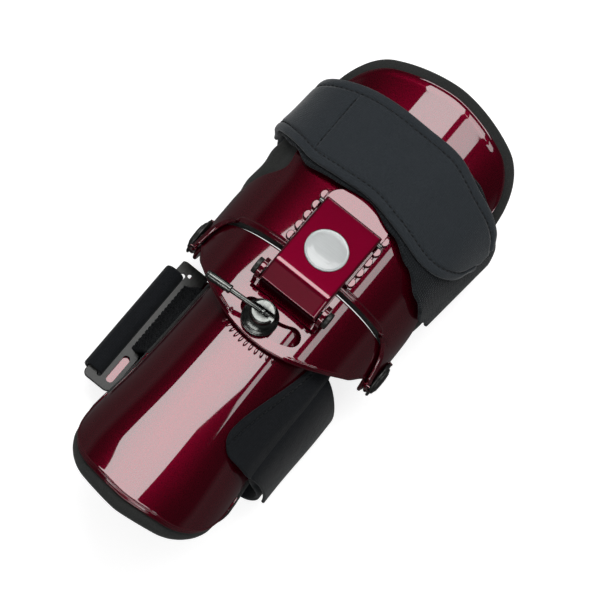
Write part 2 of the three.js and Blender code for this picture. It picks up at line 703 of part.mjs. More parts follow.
function rack() {
  const half = RAIL_INSIDE + RAIL;
  const outline = new THREE.Shape();
  outline.moveTo(-half, RACK_START);
  outline.lineTo(half, RACK_START);
  outline.lineTo(half, RACK_RAIL_END);
  outline.absellipse(0, RACK_RAIL_END, half - 2.2, RACK_END - RACK_RAIL_END, 0, Math.PI, false);
  outline.lineTo(-half, RACK_RAIL_END);
  const rail = (from, to) => box(from, to, RACK_START, RACK_RAIL_END, RACK_BASE, RACK_BASE + RAIL_HEIGHT);
  const notches = [];
  for (let i = 0; i < NOTCHES; i += 1) {
    const y = LATCH_PIN_Y - i * NOTCH_PITCH;
    const z = LATCH_PIN_Z + NOTCH_RADIUS - PIN_RADIUS - PIN_FIT;
    notches.push(rodX(NOTCH_RADIUS, -half - 1, half + 1, y, z, 16));
  }
  const base = plate(outline, RACK_BASE, RACK_BASE + RAIL, 10);
  return cut(join(base, rail(-half, -RAIL_INSIDE), rail(RAIL_INSIDE, half)), ...notches);
}

function lugBracket() {
  const inner = BLOCK_HALF + 0.8;
  const outer = inner + LUG_METAL;
  const bottom = SADDLE_CROWN + GAP;
  const ear = () => {
    const shape = new THREE.Shape();
    shape.moveTo(LUG_FRONT + 2, bottom);
    shape.lineTo(LUG_REAR, bottom);
    shape.lineTo(LUG_Y + LUG_EAR, LUG_Z);
    shape.absarc(LUG_Y, LUG_Z, LUG_EAR, 0, Math.PI, false);
    return shape;
  };
  const base = box(-outer, outer, LUG_FRONT, LUG_REAR, bottom, bottom + LUG_BASE);
  const bolt = rodX(BOLT_RADIUS + GAP, -outer - 1, outer + 1, LUG_Y, LUG_Z);
  const stud = rodZ(STUD_RADIUS + GAP, bottom - 1, bottom + LUG_BASE + 1, 0, PIVOT_Y);
  return cut(join(base, plateX(ear(), -outer, -inner), plateX(ear(), inner, outer)), bolt, stud);
}

function crossBolt() {
  const seat = BLOCK_HALF + 0.8 + LUG_METAL + GAP;
  const shank = rodX(BOLT_RADIUS, -seat - 1, seat + 1, LUG_Y, LUG_Z);
  const head = (from) => rodX(BOLT_HEAD, from, from + BOLT_HEAD_LENGTH, LUG_Y, LUG_Z, 18);
  return join(shank, head(seat), head(-seat - BOLT_HEAD_LENGTH));
}

function pivotStud() {
  const head = SADDLE_CROWN + 2 * GAP + LUG_BASE;
  const foot = HAND_CROWN - SHEET - GAP;
  return turned([[0, foot - 1], [4, foot - 1], [4, foot], [STUD_RADIUS, foot], [STUD_RADIUS, head],
    [3, head], [3, head + 1.2], [0, head + 1.2]], 20).translate(0, PIVOT_Y, 0);
}

const STUD = pivotPoint(SLOT_RADIUS, STUD_ANGLE);
const KNOB_Z = SADDLE_CROWN + GAP;

function clampStud() {
  const foot = HAND_CROWN - SHEET - 4 * GAP;
  return turned([[0, foot - 1], [4, foot - 1], [4, foot], [STUD_RADIUS, foot],
    [STUD_RADIUS, KNOB_Z + KNOB_BASE], [0, KNOB_Z + KNOB_BASE]], 16).translate(STUD.x, STUD.y, 0);
}

function knob() {
  const bore = STUD_RADIUS + GAP;
  const top = KNOB_Z + KNOB_BASE + KNOB_NECK + KNOB_TOP;
  const neck = KNOB_Z + KNOB_BASE;
  const body = turned([[0, neck + 0.5], [bore, neck + 0.5], [bore, KNOB_Z], [KNOB_RADIUS - 0.6, KNOB_Z],
    [KNOB_RADIUS, KNOB_Z + 0.8], [KNOB_RADIUS, neck - 1], [KNOB_RADIUS - 1.2, neck],
    [KNOB_TOP_RADIUS + 0.4, neck + 0.4], [KNOB_TOP_RADIUS - 0.9, neck + KNOB_NECK],
    [KNOB_TOP_RADIUS, neck + KNOB_NECK + 0.6], [KNOB_TOP_RADIUS, top - 0.6],
    [KNOB_TOP_RADIUS - 0.6, top], [0, top]], 24);
  const slot = box(-KNOB_TOP_RADIUS - 1, KNOB_TOP_RADIUS + 1, -KNOB_SLOT / 2, KNOB_SLOT / 2,
    top - KNOB_SLOT, top + 1);
  return cut(body, slot).rotateZ(THREE.MathUtils.degToRad(LEVER_ANGLE)).translate(STUD.x, STUD.y, 0);
}

const LEVER_Z = KNOB_Z + KNOB_BASE + KNOB_NECK + KNOB_TOP - KNOB_SLOT + LEVER_ROD + GAP;

function lever(profile) {
  const points = profile.map(([radius, height]) => new THREE.Vector2(radius, height));
  return new THREE.LatheGeometry(points, 12).rotateZ(-Math.PI / 2)
    .translate(0, 0, LEVER_Z).rotateZ(THREE.MathUtils.degToRad(LEVER_ANGLE))
    .translate(STUD.x, STUD.y, 0);
}

function leverRod() {
  const end = LEVER_REACH - LEVER_GRIP_LENGTH;
  return lever([[0, -3.5], [LEVER_ROD, -3.5], [LEVER_ROD, end + 3], [0, end + 3]]);
}

function leverGrip() {
  const start = LEVER_REACH - LEVER_GRIP_LENGTH;
  const bore = LEVER_ROD + 0.15;
  return lever([[0, start + 3.2], [bore, start + 3.2], [bore, start], [LEVER_GRIP - 0.4, start],
    [LEVER_GRIP, start + 0.6], [LEVER_GRIP, LEVER_REACH - 0.8], [LEVER_GRIP - 0.8, LEVER_REACH],
    [0, LEVER_REACH]]);
}

function rivet(side) {
  const inner = SADDLE_HALF - SHEET - GAP;
  const outer = HINGE_HALF + GAP;
  const profile = [[0, inner - 0.9], [3.6, inner - 0.9], [3.6, inner], [RIVET_SHANK, inner],
    [RIVET_SHANK, outer], [WASHER_RADIUS, outer], [WASHER_RADIUS, outer + WASHER],
    [RIVET_HEAD, outer + WASHER], [RIVET_HEAD, outer + WASHER + 0.6],
    [RIVET_HEAD * 0.6, outer + WASHER + HEAD_RISE], [0, outer + WASHER + HEAD_RISE]];
  const points = profile.map(([radius, height]) => new THREE.Vector2(radius, height));
  return new THREE.LatheGeometry(points, 18).rotateZ(-side * Math.PI / 2).translate(0, 0, HINGE_HEIGHT);
}

function earHoles() {
  return rodX(RIVET_SHANK + GAP, -HINGE_HALF - 2, HINGE_HALF + 2, 0, HINGE_HEIGHT);
}

function handShell() {
  const tabs = [
    bracketTab(BRACKET_FRONT + 2, BRACKET_FRONT + BRACKET_LOWER - 3, SLOT_IN + 1.2),
    bracketTab(BRACKET_REAR - BRACKET_UPPER + 1, BRACKET_REAR - 1, BAR_IN - 1),
  ];
  const shell = join(sheet(handSurface, 24, 10, 0, -SHEET), ...tabs);
  const tall = (radius, point) => rodZ(radius, HAND_CROWN - 5, HAND_CROWN + 3, point.x, point.y, 16);
  return cut(shell, tall(STUD_RADIUS + GAP, STUD), tall(STUD_RADIUS + GAP, new THREE.Vector2(0, PIVOT_Y)));
}

function handPad() {
  const pad = sheet(handPadSurface, 20, 8, -PAD_OFFSET, -PAD_OFFSET - PAD);
  const tall = (point) => rodZ(4 + GAP, HAND_CROWN - SHEET - 3, HAND_CROWN, point.x, point.y, 16);
  return cut(pad, tall(STUD), tall(new THREE.Vector2(0, PIVOT_Y)));
}

function saddle() {
  const shell = sheet(saddleSurface, 28, 5, -SADDLE_OFFSET, -SADDLE_OFFSET - SHEET);
  const slot = plate(slotShape(), SADDLE_CROWN - 12, SADDLE_CROWN + 5, 8);
  const stud = rodZ(STUD_RADIUS + GAP, SADDLE_CROWN - 5, SADDLE_CROWN + 3, 0, PIVOT_Y);
  return cut(shell, slot, stud, earHoles());
}

function palmBracket() {
  const body = plate(bracketShape(), BRACKET_TOP - BRACKET_METAL, BRACKET_TOP, 6);
  const long = plate(oblong((SLOT_IN + LOWER_IN) / 2 + 1.2, BRACKET_FRONT + 12.5, 1.75, 12.5), 0, 40, 8);
  const small = rodZ(1.2, 0, 40, BAR_IN - 1.4, BRACKET_REAR - 5, 12);
  return cut(body, long, small);
}

const finishes = {
  red: { color: 0x7a0020, roughness: 0.2, metalness: 0.9 },
  foam: { color: 0x3c3d3c, roughness: 0.95, metalness: 0 },
  cloth: { color: 0x2b3034, roughness: 0.9, metalness: 0 },
  steel: { color: 0x33343a, roughness: 0.35, metalness: 0.9 },
  silver: { color: 0xc8ccd0, roughness: 0.3, metalness: 0.6 },
};

const pieces = [
  ["forearm_shell", "red", cut(sheet(forearmSurface, 26, 11, 0, -SHEET), earHoles())],
  ["forearm_pad", "foam", sheet(forearmPadSurface, 20, 8, -PAD_OFFSET, -PAD_OFFSET - PAD)],
  ["rack", "red", rack()],
  ["forearm_strap", "cloth", sheet(strapSurface, 36, 3, CLOTH, 0, true)],
  ["strap_flap", "cloth", sheet(flapSurface, 24, 4, CLOTH + GAP + FLAP, CLOTH + GAP)],
  ["rivet_left", "steel", rivet(-1)],
  ["rivet_right", "steel", rivet(1)],
  ["saddle", "red", saddle()],
  ["lug_bracket", "red", lugBracket()],
  ["cross_bolt", "steel", crossBolt()],
  ["latch_block", "red", latchBlock()],
  ["latch_pin", "steel", rodX(PIN_RADIUS, -RAIL_INSIDE - RAIL, RAIL_INSIDE + RAIL, LATCH_PIN_Y, LATCH_PIN_Z)],
  ["badge", "silver", badgeDisc(BADGE_RADIUS, GAP - BADGE_POCKET, GAP - BADGE_POCKET + BADGE)],
  ["hand_shell", "red", handShell()],
  ["hand_pad", "foam", handPad()],
  ["pivot_stud", "steel", pivotStud()],
  ["clamp_stud", "steel", clampStud()],
  ["knob", "steel", knob()],
  ["lever_rod", "steel", leverRod()],
  ["lever_grip", "steel", leverGrip()],
  ["palm_bracket", "steel", palmBracket()],
  ["mesh_pad", "cloth", sheet(meshPadSurface, 5, 4, 1.2, -1.2)],
  ["palm_strap", "cloth", sheet(palmSurface, 32, 2, PALM_CLOTH / 2, -PALM_CLOTH / 2)],
  ["palm_flap", "cloth", sheet(palmFlapSurface, 16, 5, PALM_CLOTH, 0)],
];

const model = new THREE.Group();
for (const [name, finish, geometry] of pieces) {
  const mesh = new THREE.Mesh(geometry, new THREE.MeshStandardMaterial(finishes[finish]));
  mesh.name = name;
  model.add(mesh);
}

// The origin is the middle of the whole part's footprint, on the table
const extent = new THREE.Box3().setFromObject(model);
const middle = extent.getCenter(new THREE.Vector3());
const part = new THREE.Group();
part.add(model);
model.position.set(-middle.x, -middle.y, -extent.min.z);

export default part;
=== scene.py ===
"""Looks of a bowling wrist support glove: candy red shells, foam, straps, latch block and clamp knob.

Sizes are in millimetres from the wrist axis: X across, Y to the elbow, Z up from the table.
"""
import logging
import math
from dataclasses import dataclass
from enum import Enum
from typing import Callable, NamedTuple, Sequence

import bmesh
import bpy
import numpy as np
from mathutils import Matrix, Vector


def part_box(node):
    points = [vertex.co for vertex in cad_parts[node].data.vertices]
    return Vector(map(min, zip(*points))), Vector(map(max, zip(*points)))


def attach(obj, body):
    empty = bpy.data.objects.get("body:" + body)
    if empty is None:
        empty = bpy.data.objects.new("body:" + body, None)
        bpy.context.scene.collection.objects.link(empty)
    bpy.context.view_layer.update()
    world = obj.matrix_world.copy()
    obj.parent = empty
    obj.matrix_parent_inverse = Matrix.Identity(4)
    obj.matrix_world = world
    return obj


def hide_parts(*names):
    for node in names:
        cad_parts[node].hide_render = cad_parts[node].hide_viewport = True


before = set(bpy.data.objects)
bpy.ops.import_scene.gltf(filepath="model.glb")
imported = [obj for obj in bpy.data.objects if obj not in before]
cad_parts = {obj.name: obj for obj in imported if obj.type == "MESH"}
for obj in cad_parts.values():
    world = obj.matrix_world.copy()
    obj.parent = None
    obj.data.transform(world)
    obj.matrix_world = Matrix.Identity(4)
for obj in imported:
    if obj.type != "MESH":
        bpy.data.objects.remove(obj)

LOG = logging.getLogger("wrist_support")
MM = 0.001
Array = np.ndarray
Piece = bpy.types.Object
Material = bpy.types.Material
Socket = bpy.types.NodeSocket
Colour = tuple[float, float, float]
Profile = Sequence[tuple[float, float]]
Surface = Callable[[Array, Array], Array]
Relief = Callable[[Array, Array, Array], Array]


def wrist_origin() -> Array:
    """Point on the table under the middle of the wrist axis, in metres, from the two rivets.

    Returns:
        The point as an array of three numbers.
    """
    left_low, left_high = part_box("rivet_left")
    right_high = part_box("rivet_right")[1]
    return np.array([(left_low.x + right_high.x) / 2, (left_low.y + left_high.y) / 2, 0.0])


ORIGIN = wrist_origin()


class Body(Enum):
    """Bodies that the pieces ride on."""

    FOREARM = "forearm"
    WRIST = "wrist"
    LATCH = "latch"
    HAND = "hand"
    KNOB = "knob"


class Slot(Enum):
    """Material slots of the record."""

    RED = "red_metal"
    FOAM = "foam"
    STRAP = "strap"
    MESH = "mesh"
    STEEL = "black_steel"
    GUNMETAL = "gunmetal"
    BADGE = "badge"


class ForearmRow(NamedTuple):
    """Section of the forearm shell at a share of its reach."""

    along: float
    half: float
    edge: float
    foam: float


class HandRow(NamedTuple):
    """Section of the hand shell at a share of its reach."""

    along: float
    half: float


class BandRow(NamedTuple):
    """Point of the forearm band's ring and the band's two edges there, all as shares."""

    across: float
    up: float
    lower: float
    upper: float


class FlapRow(NamedTuple):
    """Edges of the band's flap at a share of the way round the ring."""

    at: float
    lower: float
    upper: float


FOREARM_ROWS = (
    ForearmRow(0.0, 1.0, 0.0, 0),
    ForearmRow(0.1, 1.0, 0.03, 0),
    ForearmRow(0.2, 1.0, 0.15, 4),
    ForearmRow(0.28, 1.0, 0.42, 11),
    ForearmRow(0.355, 1.0, 0.68, 18.5),
    ForearmRow(0.45, 1.03, 0.7, 19),
    ForearmRow(0.75, 1.08, 0.66, 10.5),
    ForearmRow(1.0, 1.08, 0.66, 10),
)
HAND_ROWS = (
    HandRow(-0.05, 0.86),
    HandRow(0.2, 0.87),
    HandRow(0.55, 0.91),
    HandRow(0.85, 1.0),
    HandRow(1.0, 0.97),
)
BAND_ROWS = (
    BandRow(0.0, 1.0, 0.43, 0.795),
    BandRow(0.32, 0.998, 0.382, 0.79),
    BandRow(0.58, 0.925, 0.333, 0.775),
    BandRow(0.79, 0.84, 0.272, 0.74),
    BandRow(0.94, 0.68, 0.25, 0.69),
    BandRow(1.0, 0.45, 0.3, 0.66),
    BandRow(0.93, 0.18, 0.36, 0.7),
    BandRow(0.7, 0.045, 0.42, 0.76),
    BandRow(0.4, 0.03, 0.46, 0.8),
    BandRow(0.0, 0.03, 0.49, 0.82),
    BandRow(-0.4, 0.03, 0.51, 0.82),
    BandRow(-0.7, 0.045, 0.52, 0.81),
    BandRow(-0.9, 0.18, 0.53, 0.79),
    BandRow(-0.96, 0.45, 0.52, 0.76),
    BandRow(-0.95, 0.68, 0.49, 0.76),
    BandRow(-0.79, 0.84, 0.452, 0.775),
    BandRow(-0.58, 0.925, 0.405, 0.795),
    BandRow(-0.32, 0.998, 0.41, 0.795),
)
FLAP_ROWS = (
    FlapRow(-0.29, 0.525, 0.755),
    FlapRow(-0.222, 0.496, 0.76),
    FlapRow(-0.167, 0.462, 0.775),
    FlapRow(-0.111, 0.428, 0.795),
    FlapRow(-0.056, 0.423, 0.797),
    FlapRow(0.0, 0.432, 0.797),
    FlapRow(0.056, 0.4, 0.79),
    FlapRow(0.111, 0.377, 0.752),
    FlapRow(0.15, 0.381, 0.732),
    FlapRow(0.178, 0.41, 0.719),
    FlapRow(0.202, 0.457, 0.7),
    FlapRow(0.22, 0.53, 0.672),
)


def eased(low: float, high: float, value: Array) -> Array:
    """Share of the way from low to high, eased at both ends.

    Args:
        low: Value that gives 0.
        high: Value that gives 1.
        value: Values to ease.

    Returns:
        3k squared minus 2k cubed, with k the clamped share.
    """
    k = np.clip((value - low) / (high - low), 0, 1)
    return k * k * (3 - 2 * k)


def column(rows: Sequence[NamedTuple], key: str, by: str, at: Array) -> Array:
    """One column of a table at any place, as a cubic that passes through the rows.

    Args:
        rows: The table.
        key: Column to read.
        by: Column that at is measured in.
        at: Places.

    Returns:
        Hermite cubic between the two rows round each place, with the neighbours' mean slopes.
    """
    x = np.array([getattr(row, by) for row in rows], float)
    y = np.array([getattr(row, key) for row in rows], float)
    slope = np.zeros_like(y)
    slope[1:-1] = (y[2:] - y[:-2]) / (x[2:] - x[:-2])
    at = np.clip(at, x[0], x[-1])
    i = np.clip(np.searchsorted(x, at, side="right") - 1, 0, len(x) - 2)
    span = x[i + 1] - x[i]
    k = (at - x[i]) / span
    return (
        (2 * k**3 - 3 * k**2 + 1) * y[i]
        + (k**3 - 2 * k**2 + k) * span * slope[i]
        + (3 * k**2 - 2 * k**3) * y[i + 1]
        + (k**3 - k**2) * span * slope[i + 1]
    )


def end_fall(share: Array, length: float, corner: float, bow: float = 0.0, power: float = 1.0) -> Array:
    """How far an end falls back at a share of the width.

    Args:
        share: Signed share of the width.
        length: Length of the half width.
        corner: Radius of the corner.
        bow: Fall of the bow at the side.
        power: Power of the bow.

    Returns:
        Bow times the share to the power, plus a circle's fall past the corner's start.
    """
    over = np.maximum(0, np.abs(share) * length - (length - corner)) / corner
    fall = corner * (1 - np.sqrt(np.maximum(0, 1 - over * over * 0.998)))
    return bow * np.abs(share) ** power + fall


@dataclass(frozen=True)
class Arch:
    """Superellipse arch over a straight wall, measured by the distance round it from its crown."""

    rise: float
    base: float = 30.0
    power: float = 2.3
    steps: int = 128

    def _table(self, half: Array) -> tuple[Array, Array]:
        """Angles, and the length round the arch at each for every half width.

        Args:
            half: Half widths.

        Returns:
            Angles, and lengths with a row for each half width.
        """
        angles = np.linspace(0, np.pi / 2, self.steps + 1)
        x = half[:, None] * np.sin(angles) ** (2 / self.power)
        z = self.rise * np.maximum(0, np.cos(angles)) ** (2 / self.power)
        pieces = np.hypot(np.diff(x, axis=1), np.diff(z)[None])
        lengths = np.concatenate([np.zeros((len(half), 1)), np.cumsum(pieces, axis=1)], axis=1)
        return angles, lengths

    def point(self, half: Array, distance: Array) -> tuple[Array, Array]:
        """Point at a signed distance from the crown.

        Args:
            half: Half width of the arch.
            distance: Signed distance round the arch.

        Returns:
            X and Z, on the superellipse or straight down below its base.
        """
        shape = np.broadcast(half, distance).shape
        wide = np.broadcast_to(half, shape).ravel()
        far = np.abs(np.broadcast_to(distance, shape)).ravel()
        side = np.sign(np.broadcast_to(distance, shape)).ravel()
        angles, lengths = self._table(wide)
        i = np.clip((lengths < far[:, None]).sum(axis=1), 1, self.steps)
        rows = np.arange(len(far))
        before, after = lengths[rows, i - 1], lengths[rows, i]
        k = np.clip((far - before) / (after - before), 0, 1)
        angle = angles[i - 1] + k * (angles[i] - angles[i - 1])
        extra = np.maximum(0, far - lengths[:, -1])
        x = side * wide * np.sin(angle) ** (2 / self.power)
        z = self.base + self.rise * np.maximum(0, np.cos(angle)) ** (2 / self.power) - extra
        return x.reshape(shape), z.reshape(shape)

    def reach(self, half: Array, height: Array) -> Array:
        """Distance round the arch from the crown down to a height.

        Args:
            half: Half width of the arch.
            height: Height above the table.

        Returns:
            The distance, with the straight wall below the base added.
        """
        shape = np.broadcast(half, height).shape
        wide = np.broadcast_to(half, shape).ravel()
        high = np.broadcast_to(height, shape).ravel()
        angles, lengths = self._table(wide)
        share = np.clip((high - self.base) / self.rise, 0, 1)
        place = np.arccos(share ** (self.power / 2)) / (np.pi / 2) * self.steps
        i = np.clip(place.astype(int), 0, self.steps - 1)
        rows = np.arange(len(high))
        at = lengths[rows, i] + (place - i) * (lengths[rows, i + 1] - lengths[rows, i])
        return (at + np.maximum(0, self.base - high)).reshape(shape)


def centripetal(points: Array, closed: bool, at: Array) -> Array:
    """Centripetal Catmull-Rom curve through points.

    Args:
        points: The points, one row each.
        closed: True for a loop.
        at: Shares of the way, counted in equal steps from point to point.

    Returns:
        Points of the cubic whose end slopes weigh each chord by the square root of its length.
    """
    count = len(points)
    if closed:
        place = np.mod(at, 1.0) * count
        i = np.minimum(place.astype(int), count - 1)
        around = [points[(i + k) % count] for k in (-1, 0, 1, 2)]
    else:
        place = np.clip(at, 0, 1) * (count - 1)
        i = np.minimum(place.astype(int), count - 2)
        longer = np.concatenate([[2 * points[0] - points[1]], points, [2 * points[-1] - points[-2]]])
        around = [longer[i + k] for k in (0, 1, 2, 3)]
    k = (place - i)[..., None]
    a, b, c, d = around
    chord = [np.linalg.norm(q - p, axis=-1)[..., None] for p, q in ((a, b), (b, c), (c, d))]
    chord = [np.maximum(each, 1e-6) ** 0.5 for each in chord]
    start = ((b - a) / chord[0] - (c - a) / (chord[0] + chord[1]) + (c - b) / chord[1]) * chord[1]
    end = ((c - b) / chord[1] - (d - b) / (chord[1] + chord[2]) + (d - c) / chord[2]) * chord[1]
    return (
        (2 * k**3 - 3 * k**2 + 1) * b
        + (k**3 - 2 * k**2 + k) * start
        + (3 * k**2 - 2 * k**3) * c
        + (k**3 - k**2) * end
    )


def make_piece(
    name: str, points: Array, quads: Array, caps: Sequence[Sequence[int]] = (), uv: Array | None = None,
    sharp: float = 40.0,
) -> Piece:
    """Mesh object from arrays in millimetres, with its faces turned outwards.

    Args:
        name: Name of the piece.
        points: Vertices from the wrist axis.
        quads: Vertex numbers of the four-sided faces.
        caps: Vertex numbers of any other faces.
        uv: A place on the cloth for each corner of each quad, in metres.
        sharp: Angle past which an edge is drawn sharp, in degrees.

    Returns:
        The object, at the origin.
    """
    a, b, c, d = (points[quads[:, k]] for k in range(4))
    volume = np.einsum("ij,ij->", a, np.cross(b, c)) + np.einsum("ij,ij->", a, np.cross(c, d))
    for cap in caps:
        ring = points[list(cap)]
        volume += (np.cross(ring[1:-1], ring[2:]) @ ring[0]).sum()
    if volume < 0:
        quads = quads[:, ::-1]
        caps = [list(cap)[::-1] for cap in caps]
        uv = None if uv is None else uv[:, ::-1]
    mesh = bpy.data.meshes.new(name)
    mesh.from_pydata((points * MM + ORIGIN).tolist(), [], quads.tolist() + [list(cap) for cap in caps])
    if uv is not None:
        flat = np.zeros((len(mesh.loops), 2), np.float32)
        flat[: uv.size // 2] = uv.reshape(-1, 2)
        mesh.uv_layers.new(name="cloth").data.foreach_set("uv", flat.ravel())
    mesh.polygons.foreach_set("use_smooth", np.ones(len(mesh.polygons), bool))
    mesh.set_sharp_from_angle(angle=math.radians(sharp))
    mesh.update()
    piece = bpy.data.objects.new(name, mesh)
    bpy.context.scene.collection.objects.link(piece)
    return piece


def grid_normals(points: Array, closed: bool) -> Array:
    """Unit normals of a grid of points: first direction crossed with second.

    Args:
        points: Grid of points.
        closed: True where the first direction is a loop.

    Returns:
        A grid of unit vectors.
    """
    if closed:
        du = np.roll(points, -1, axis=0) - np.roll(points, 1, axis=0)
    else:
        du = np.gradient(points, axis=0, edge_order=2)
    dv = np.gradient(points, axis=1, edge_order=2)
    normal = np.cross(du, dv)
    return normal / np.maximum(np.linalg.norm(normal, axis=-1, keepdims=True), 1e-9)


def rim_loops(across: int, along: int, closed: bool) -> list[tuple[Array, Array]]:
    """Grid places round the edge of a sheet, each with its neighbour one step inside.

    Args:
        across: Points in the first direction.
        along: Points in the second direction.
        closed: True where the first direction is a loop.

    Returns:
        Pairs of index arrays, one pair for each edge loop.
    """
    i, j = np.arange(across), np.arange(along)
    number = i[:, None] * along + j[None]
    if closed:
        return [(number[:, 0], number[:, 1]), (number[::-1, -1], number[::-1, -2])]
    loop = np.concatenate([number[:-1, 0], number[-1, :-1], number[:0:-1, -1], number[0, :0:-1]])
    inner = np.concatenate([number[:-1, 1], number[-2, :-1], number[:0:-1, -2], number[1, :0:-1]])
    return [(loop, inner)]


def sheet_piece(
    name: str, surface: Surface, cells: tuple[int, int], outside: float, inside: float,
    closed: bool = False, rim: int = 5, roundness: float = 0.8, relief: Relief | None = None,
    sharp: float = 50.0, crowd: float = 0.0,
) -> tuple[Piece, float]:
    """Wall of even thickness along a surface, with its edge rolled in a half ellipse.

    Args:
        name: Name of the piece.
        surface: Points for two parameters from 0 to 1.
        cells: Cells in each direction.
        outside: Offset of the outer face along the normal.
        inside: Offset of the inner face.
        closed: True where the first direction is a loop.
        rim: Rows of points round the edge.
        roundness: Bulge of the edge as a share of half the thickness.
        relief: Height added to the outer face for places across, along and points.
        sharp: Angle past which an edge is drawn sharp.
        crowd: Share by which the rows close up towards both ends.

    Returns:
        The piece, and the area of its middle surface in square metres.
    """
    u = np.arange(cells[0] + (0 if closed else 1)) / cells[0]
    v = np.linspace(0, 1, cells[1] + 1)
    v = v - crowd * np.sin(2 * np.pi * v) / (2 * np.pi)
    grid_u, grid_v = np.meshgrid(u, v, indexing="ij")
    points = surface(grid_u, grid_v)
    normal = grid_normals(points, closed)
    high = 0.0 if relief is None else relief(grid_u, grid_v, points)[..., None]
    outer = (points + normal * (outside + high)).reshape(-1, 3)
    inner = (points + normal * inside).reshape(-1, 3)
    across, along = points.shape[:2]
    layers = [outer, inner]
    i = np.arange(cells[0])[:, None]
    j = np.arange(cells[1])[None]

    first, second = i * along + j, ((i + 1) % across) * along + j
    quad = np.stack([first, second, second + 1, first + 1], -1).reshape(-1, 4)
    middle = (points + normal * (outside + inside) / 2) * MM
    ahead = np.roll(middle, -1, axis=0) if closed else np.concatenate([middle[1:], middle[-1:]])
    width = np.linalg.norm(ahead - middle, axis=-1)
    line = np.concatenate([[0], np.cumsum(width[:, along // 2])])
    depth = np.linalg.norm(np.diff(middle, axis=1), axis=-1)
    side = np.concatenate([np.zeros((across, 1)), np.cumsum(depth, axis=1)], axis=1)
    side = np.concatenate([side, side[:1]])
    line = np.broadcast_to(line[: len(side), None], side.shape)
    place = np.stack([line, side - side[:, -1:] / 2], -1)
    around = np.stack([place[i, j], place[i + 1, j], place[i + 1, j + 1], place[i, j + 1]], -2)
    around = around.reshape(-1, 4, 2)
    area = float((width[: cells[0], :-1] * depth[: cells[0]]).sum())
    quads, corner_places = [quad, quad[:, ::-1] + len(outer)], [around, around[:, ::-1]]
    start = 2 * len(outer)
    for loop, within in rim_loops(across, along, closed):
        centre, half = (outer[loop] + inner[loop]) / 2, (outer[loop] - inner[loop]) / 2
        tangent = np.roll(centre, -1, axis=0) - np.roll(centre, 1, axis=0)
        away = np.cross(tangent, half)
        away /= np.maximum(np.linalg.norm(away, axis=1, keepdims=True), 1e-9)
        inward = (outer[within] + inner[within]) / 2
        if np.einsum("ij,ij->", away, centre - inward) < 0:
            away = -away
        thick = np.linalg.norm(half, axis=1, keepdims=True)
        rows = [loop]
        for k in range(1, rim + 1):
            angle = math.pi * k / (rim + 1)
            layers.append(centre + half * math.cos(angle) + away * thick * roundness * math.sin(angle))
            rows.append(start + np.arange(len(loop)))
            start += len(loop)
        rows.append(loop + len(outer))
        flat = place[:across].reshape(-1, 2)[loop]
        for a, b in zip(rows[:-1], rows[1:]):
            ahead_a, ahead_b = np.roll(a, -1), np.roll(b, -1)
            quads.append(np.stack([ahead_a, a, b, ahead_b], -1))
            next_flat = np.roll(flat, -1, axis=0)
            corner_places.append(np.stack([next_flat, flat, flat, next_flat], 1))
    piece = make_piece(
        name, np.concatenate(layers), np.concatenate(quads), uv=np.concatenate(corner_places), sharp=sharp
    )
    return piece, area


def lip(points: Array, end: int, height: float = 0.6) -> Array:
    """Low bead along an end of a sheet: a bell curve of the distance from that end.

    Args:
        points: Grid of points.
        end: Row that the distance is measured from.
        height: Height of the bead.

    Returns:
        Height at each point.
    """
    away = np.linalg.norm(points - points[:, end][:, None], axis=-1)
    return height * np.exp(-(((away - 1.2) / 0.65) ** 2))


def ring_quads(rings: int, sides: int) -> Array:
    """Faces between rings: corners k and k + 1 of a ring with the same two of the next ring.

    Args:
        rings: How many rings, numbered one after the other.
        sides: Corners of each.

    Returns:
        Four numbers for each face.
    """
    i, j = np.arange(rings - 1)[:, None] * sides, np.arange(sides)[None]
    after = (j + 1) % sides
    return np.stack([i + j, i + after, i + sides + after, i + sides + j], -1).reshape(-1, 4)


def lathe_points(profile: Profile, sides: int) -> tuple[Array, Array, list]:
    """Turned shape about Z: a profile of radius and height carried round a circle.

    Args:
        profile: Radius and height of each corner.
        sides: Steps round the circle.

    Returns:
        Points, quads and the two end faces.
    """
    radius = np.maximum(np.array([p[0] for p in profile], float), 0.02)
    height = np.array([p[1] for p in profile], float)
    angle = np.arange(sides) / sides * 2 * np.pi
    x = radius[:, None] * np.cos(angle)
    y = radius[:, None] * np.sin(angle)
    z = np.broadcast_to(height[:, None], x.shape)
    points = np.stack([x, y, z], -1).reshape(-1, 3)
    last = (len(profile) - 1) * sides
    caps = [list(range(sides))[::-1], [last + k for k in range(sides)]]
    return points, ring_quads(len(profile), sides), caps


def turned(name: str, profile: Profile, turn: Matrix, place: Sequence[float], sides: int = 64) -> Piece:
    """Turned piece, set down with a turn and a place.

    Args:
        name: Name of the piece.
        profile: Radius and height of each corner.
        turn: Rotation from the Z axis.
        place: Where the profile's origin goes.
        sides: Steps round the circle.

    Returns:
        The piece.
    """
    points, quads, caps = lathe_points(profile, sides)
    points = points @ np.array(turn.to_3x3()).T + np.array(place, float)
    return make_piece(name, points, quads, caps, sharp=35.0)


def apply_modifiers(piece: Piece) -> None:
    """Replaces a piece's mesh by the one that its modifiers give.

    Args:
        piece: The piece.
    """
    graph = bpy.context.evaluated_depsgraph_get()
    made = bpy.data.meshes.new_from_object(piece.evaluated_get(graph))
    piece.modifiers.clear()
    piece.data = made


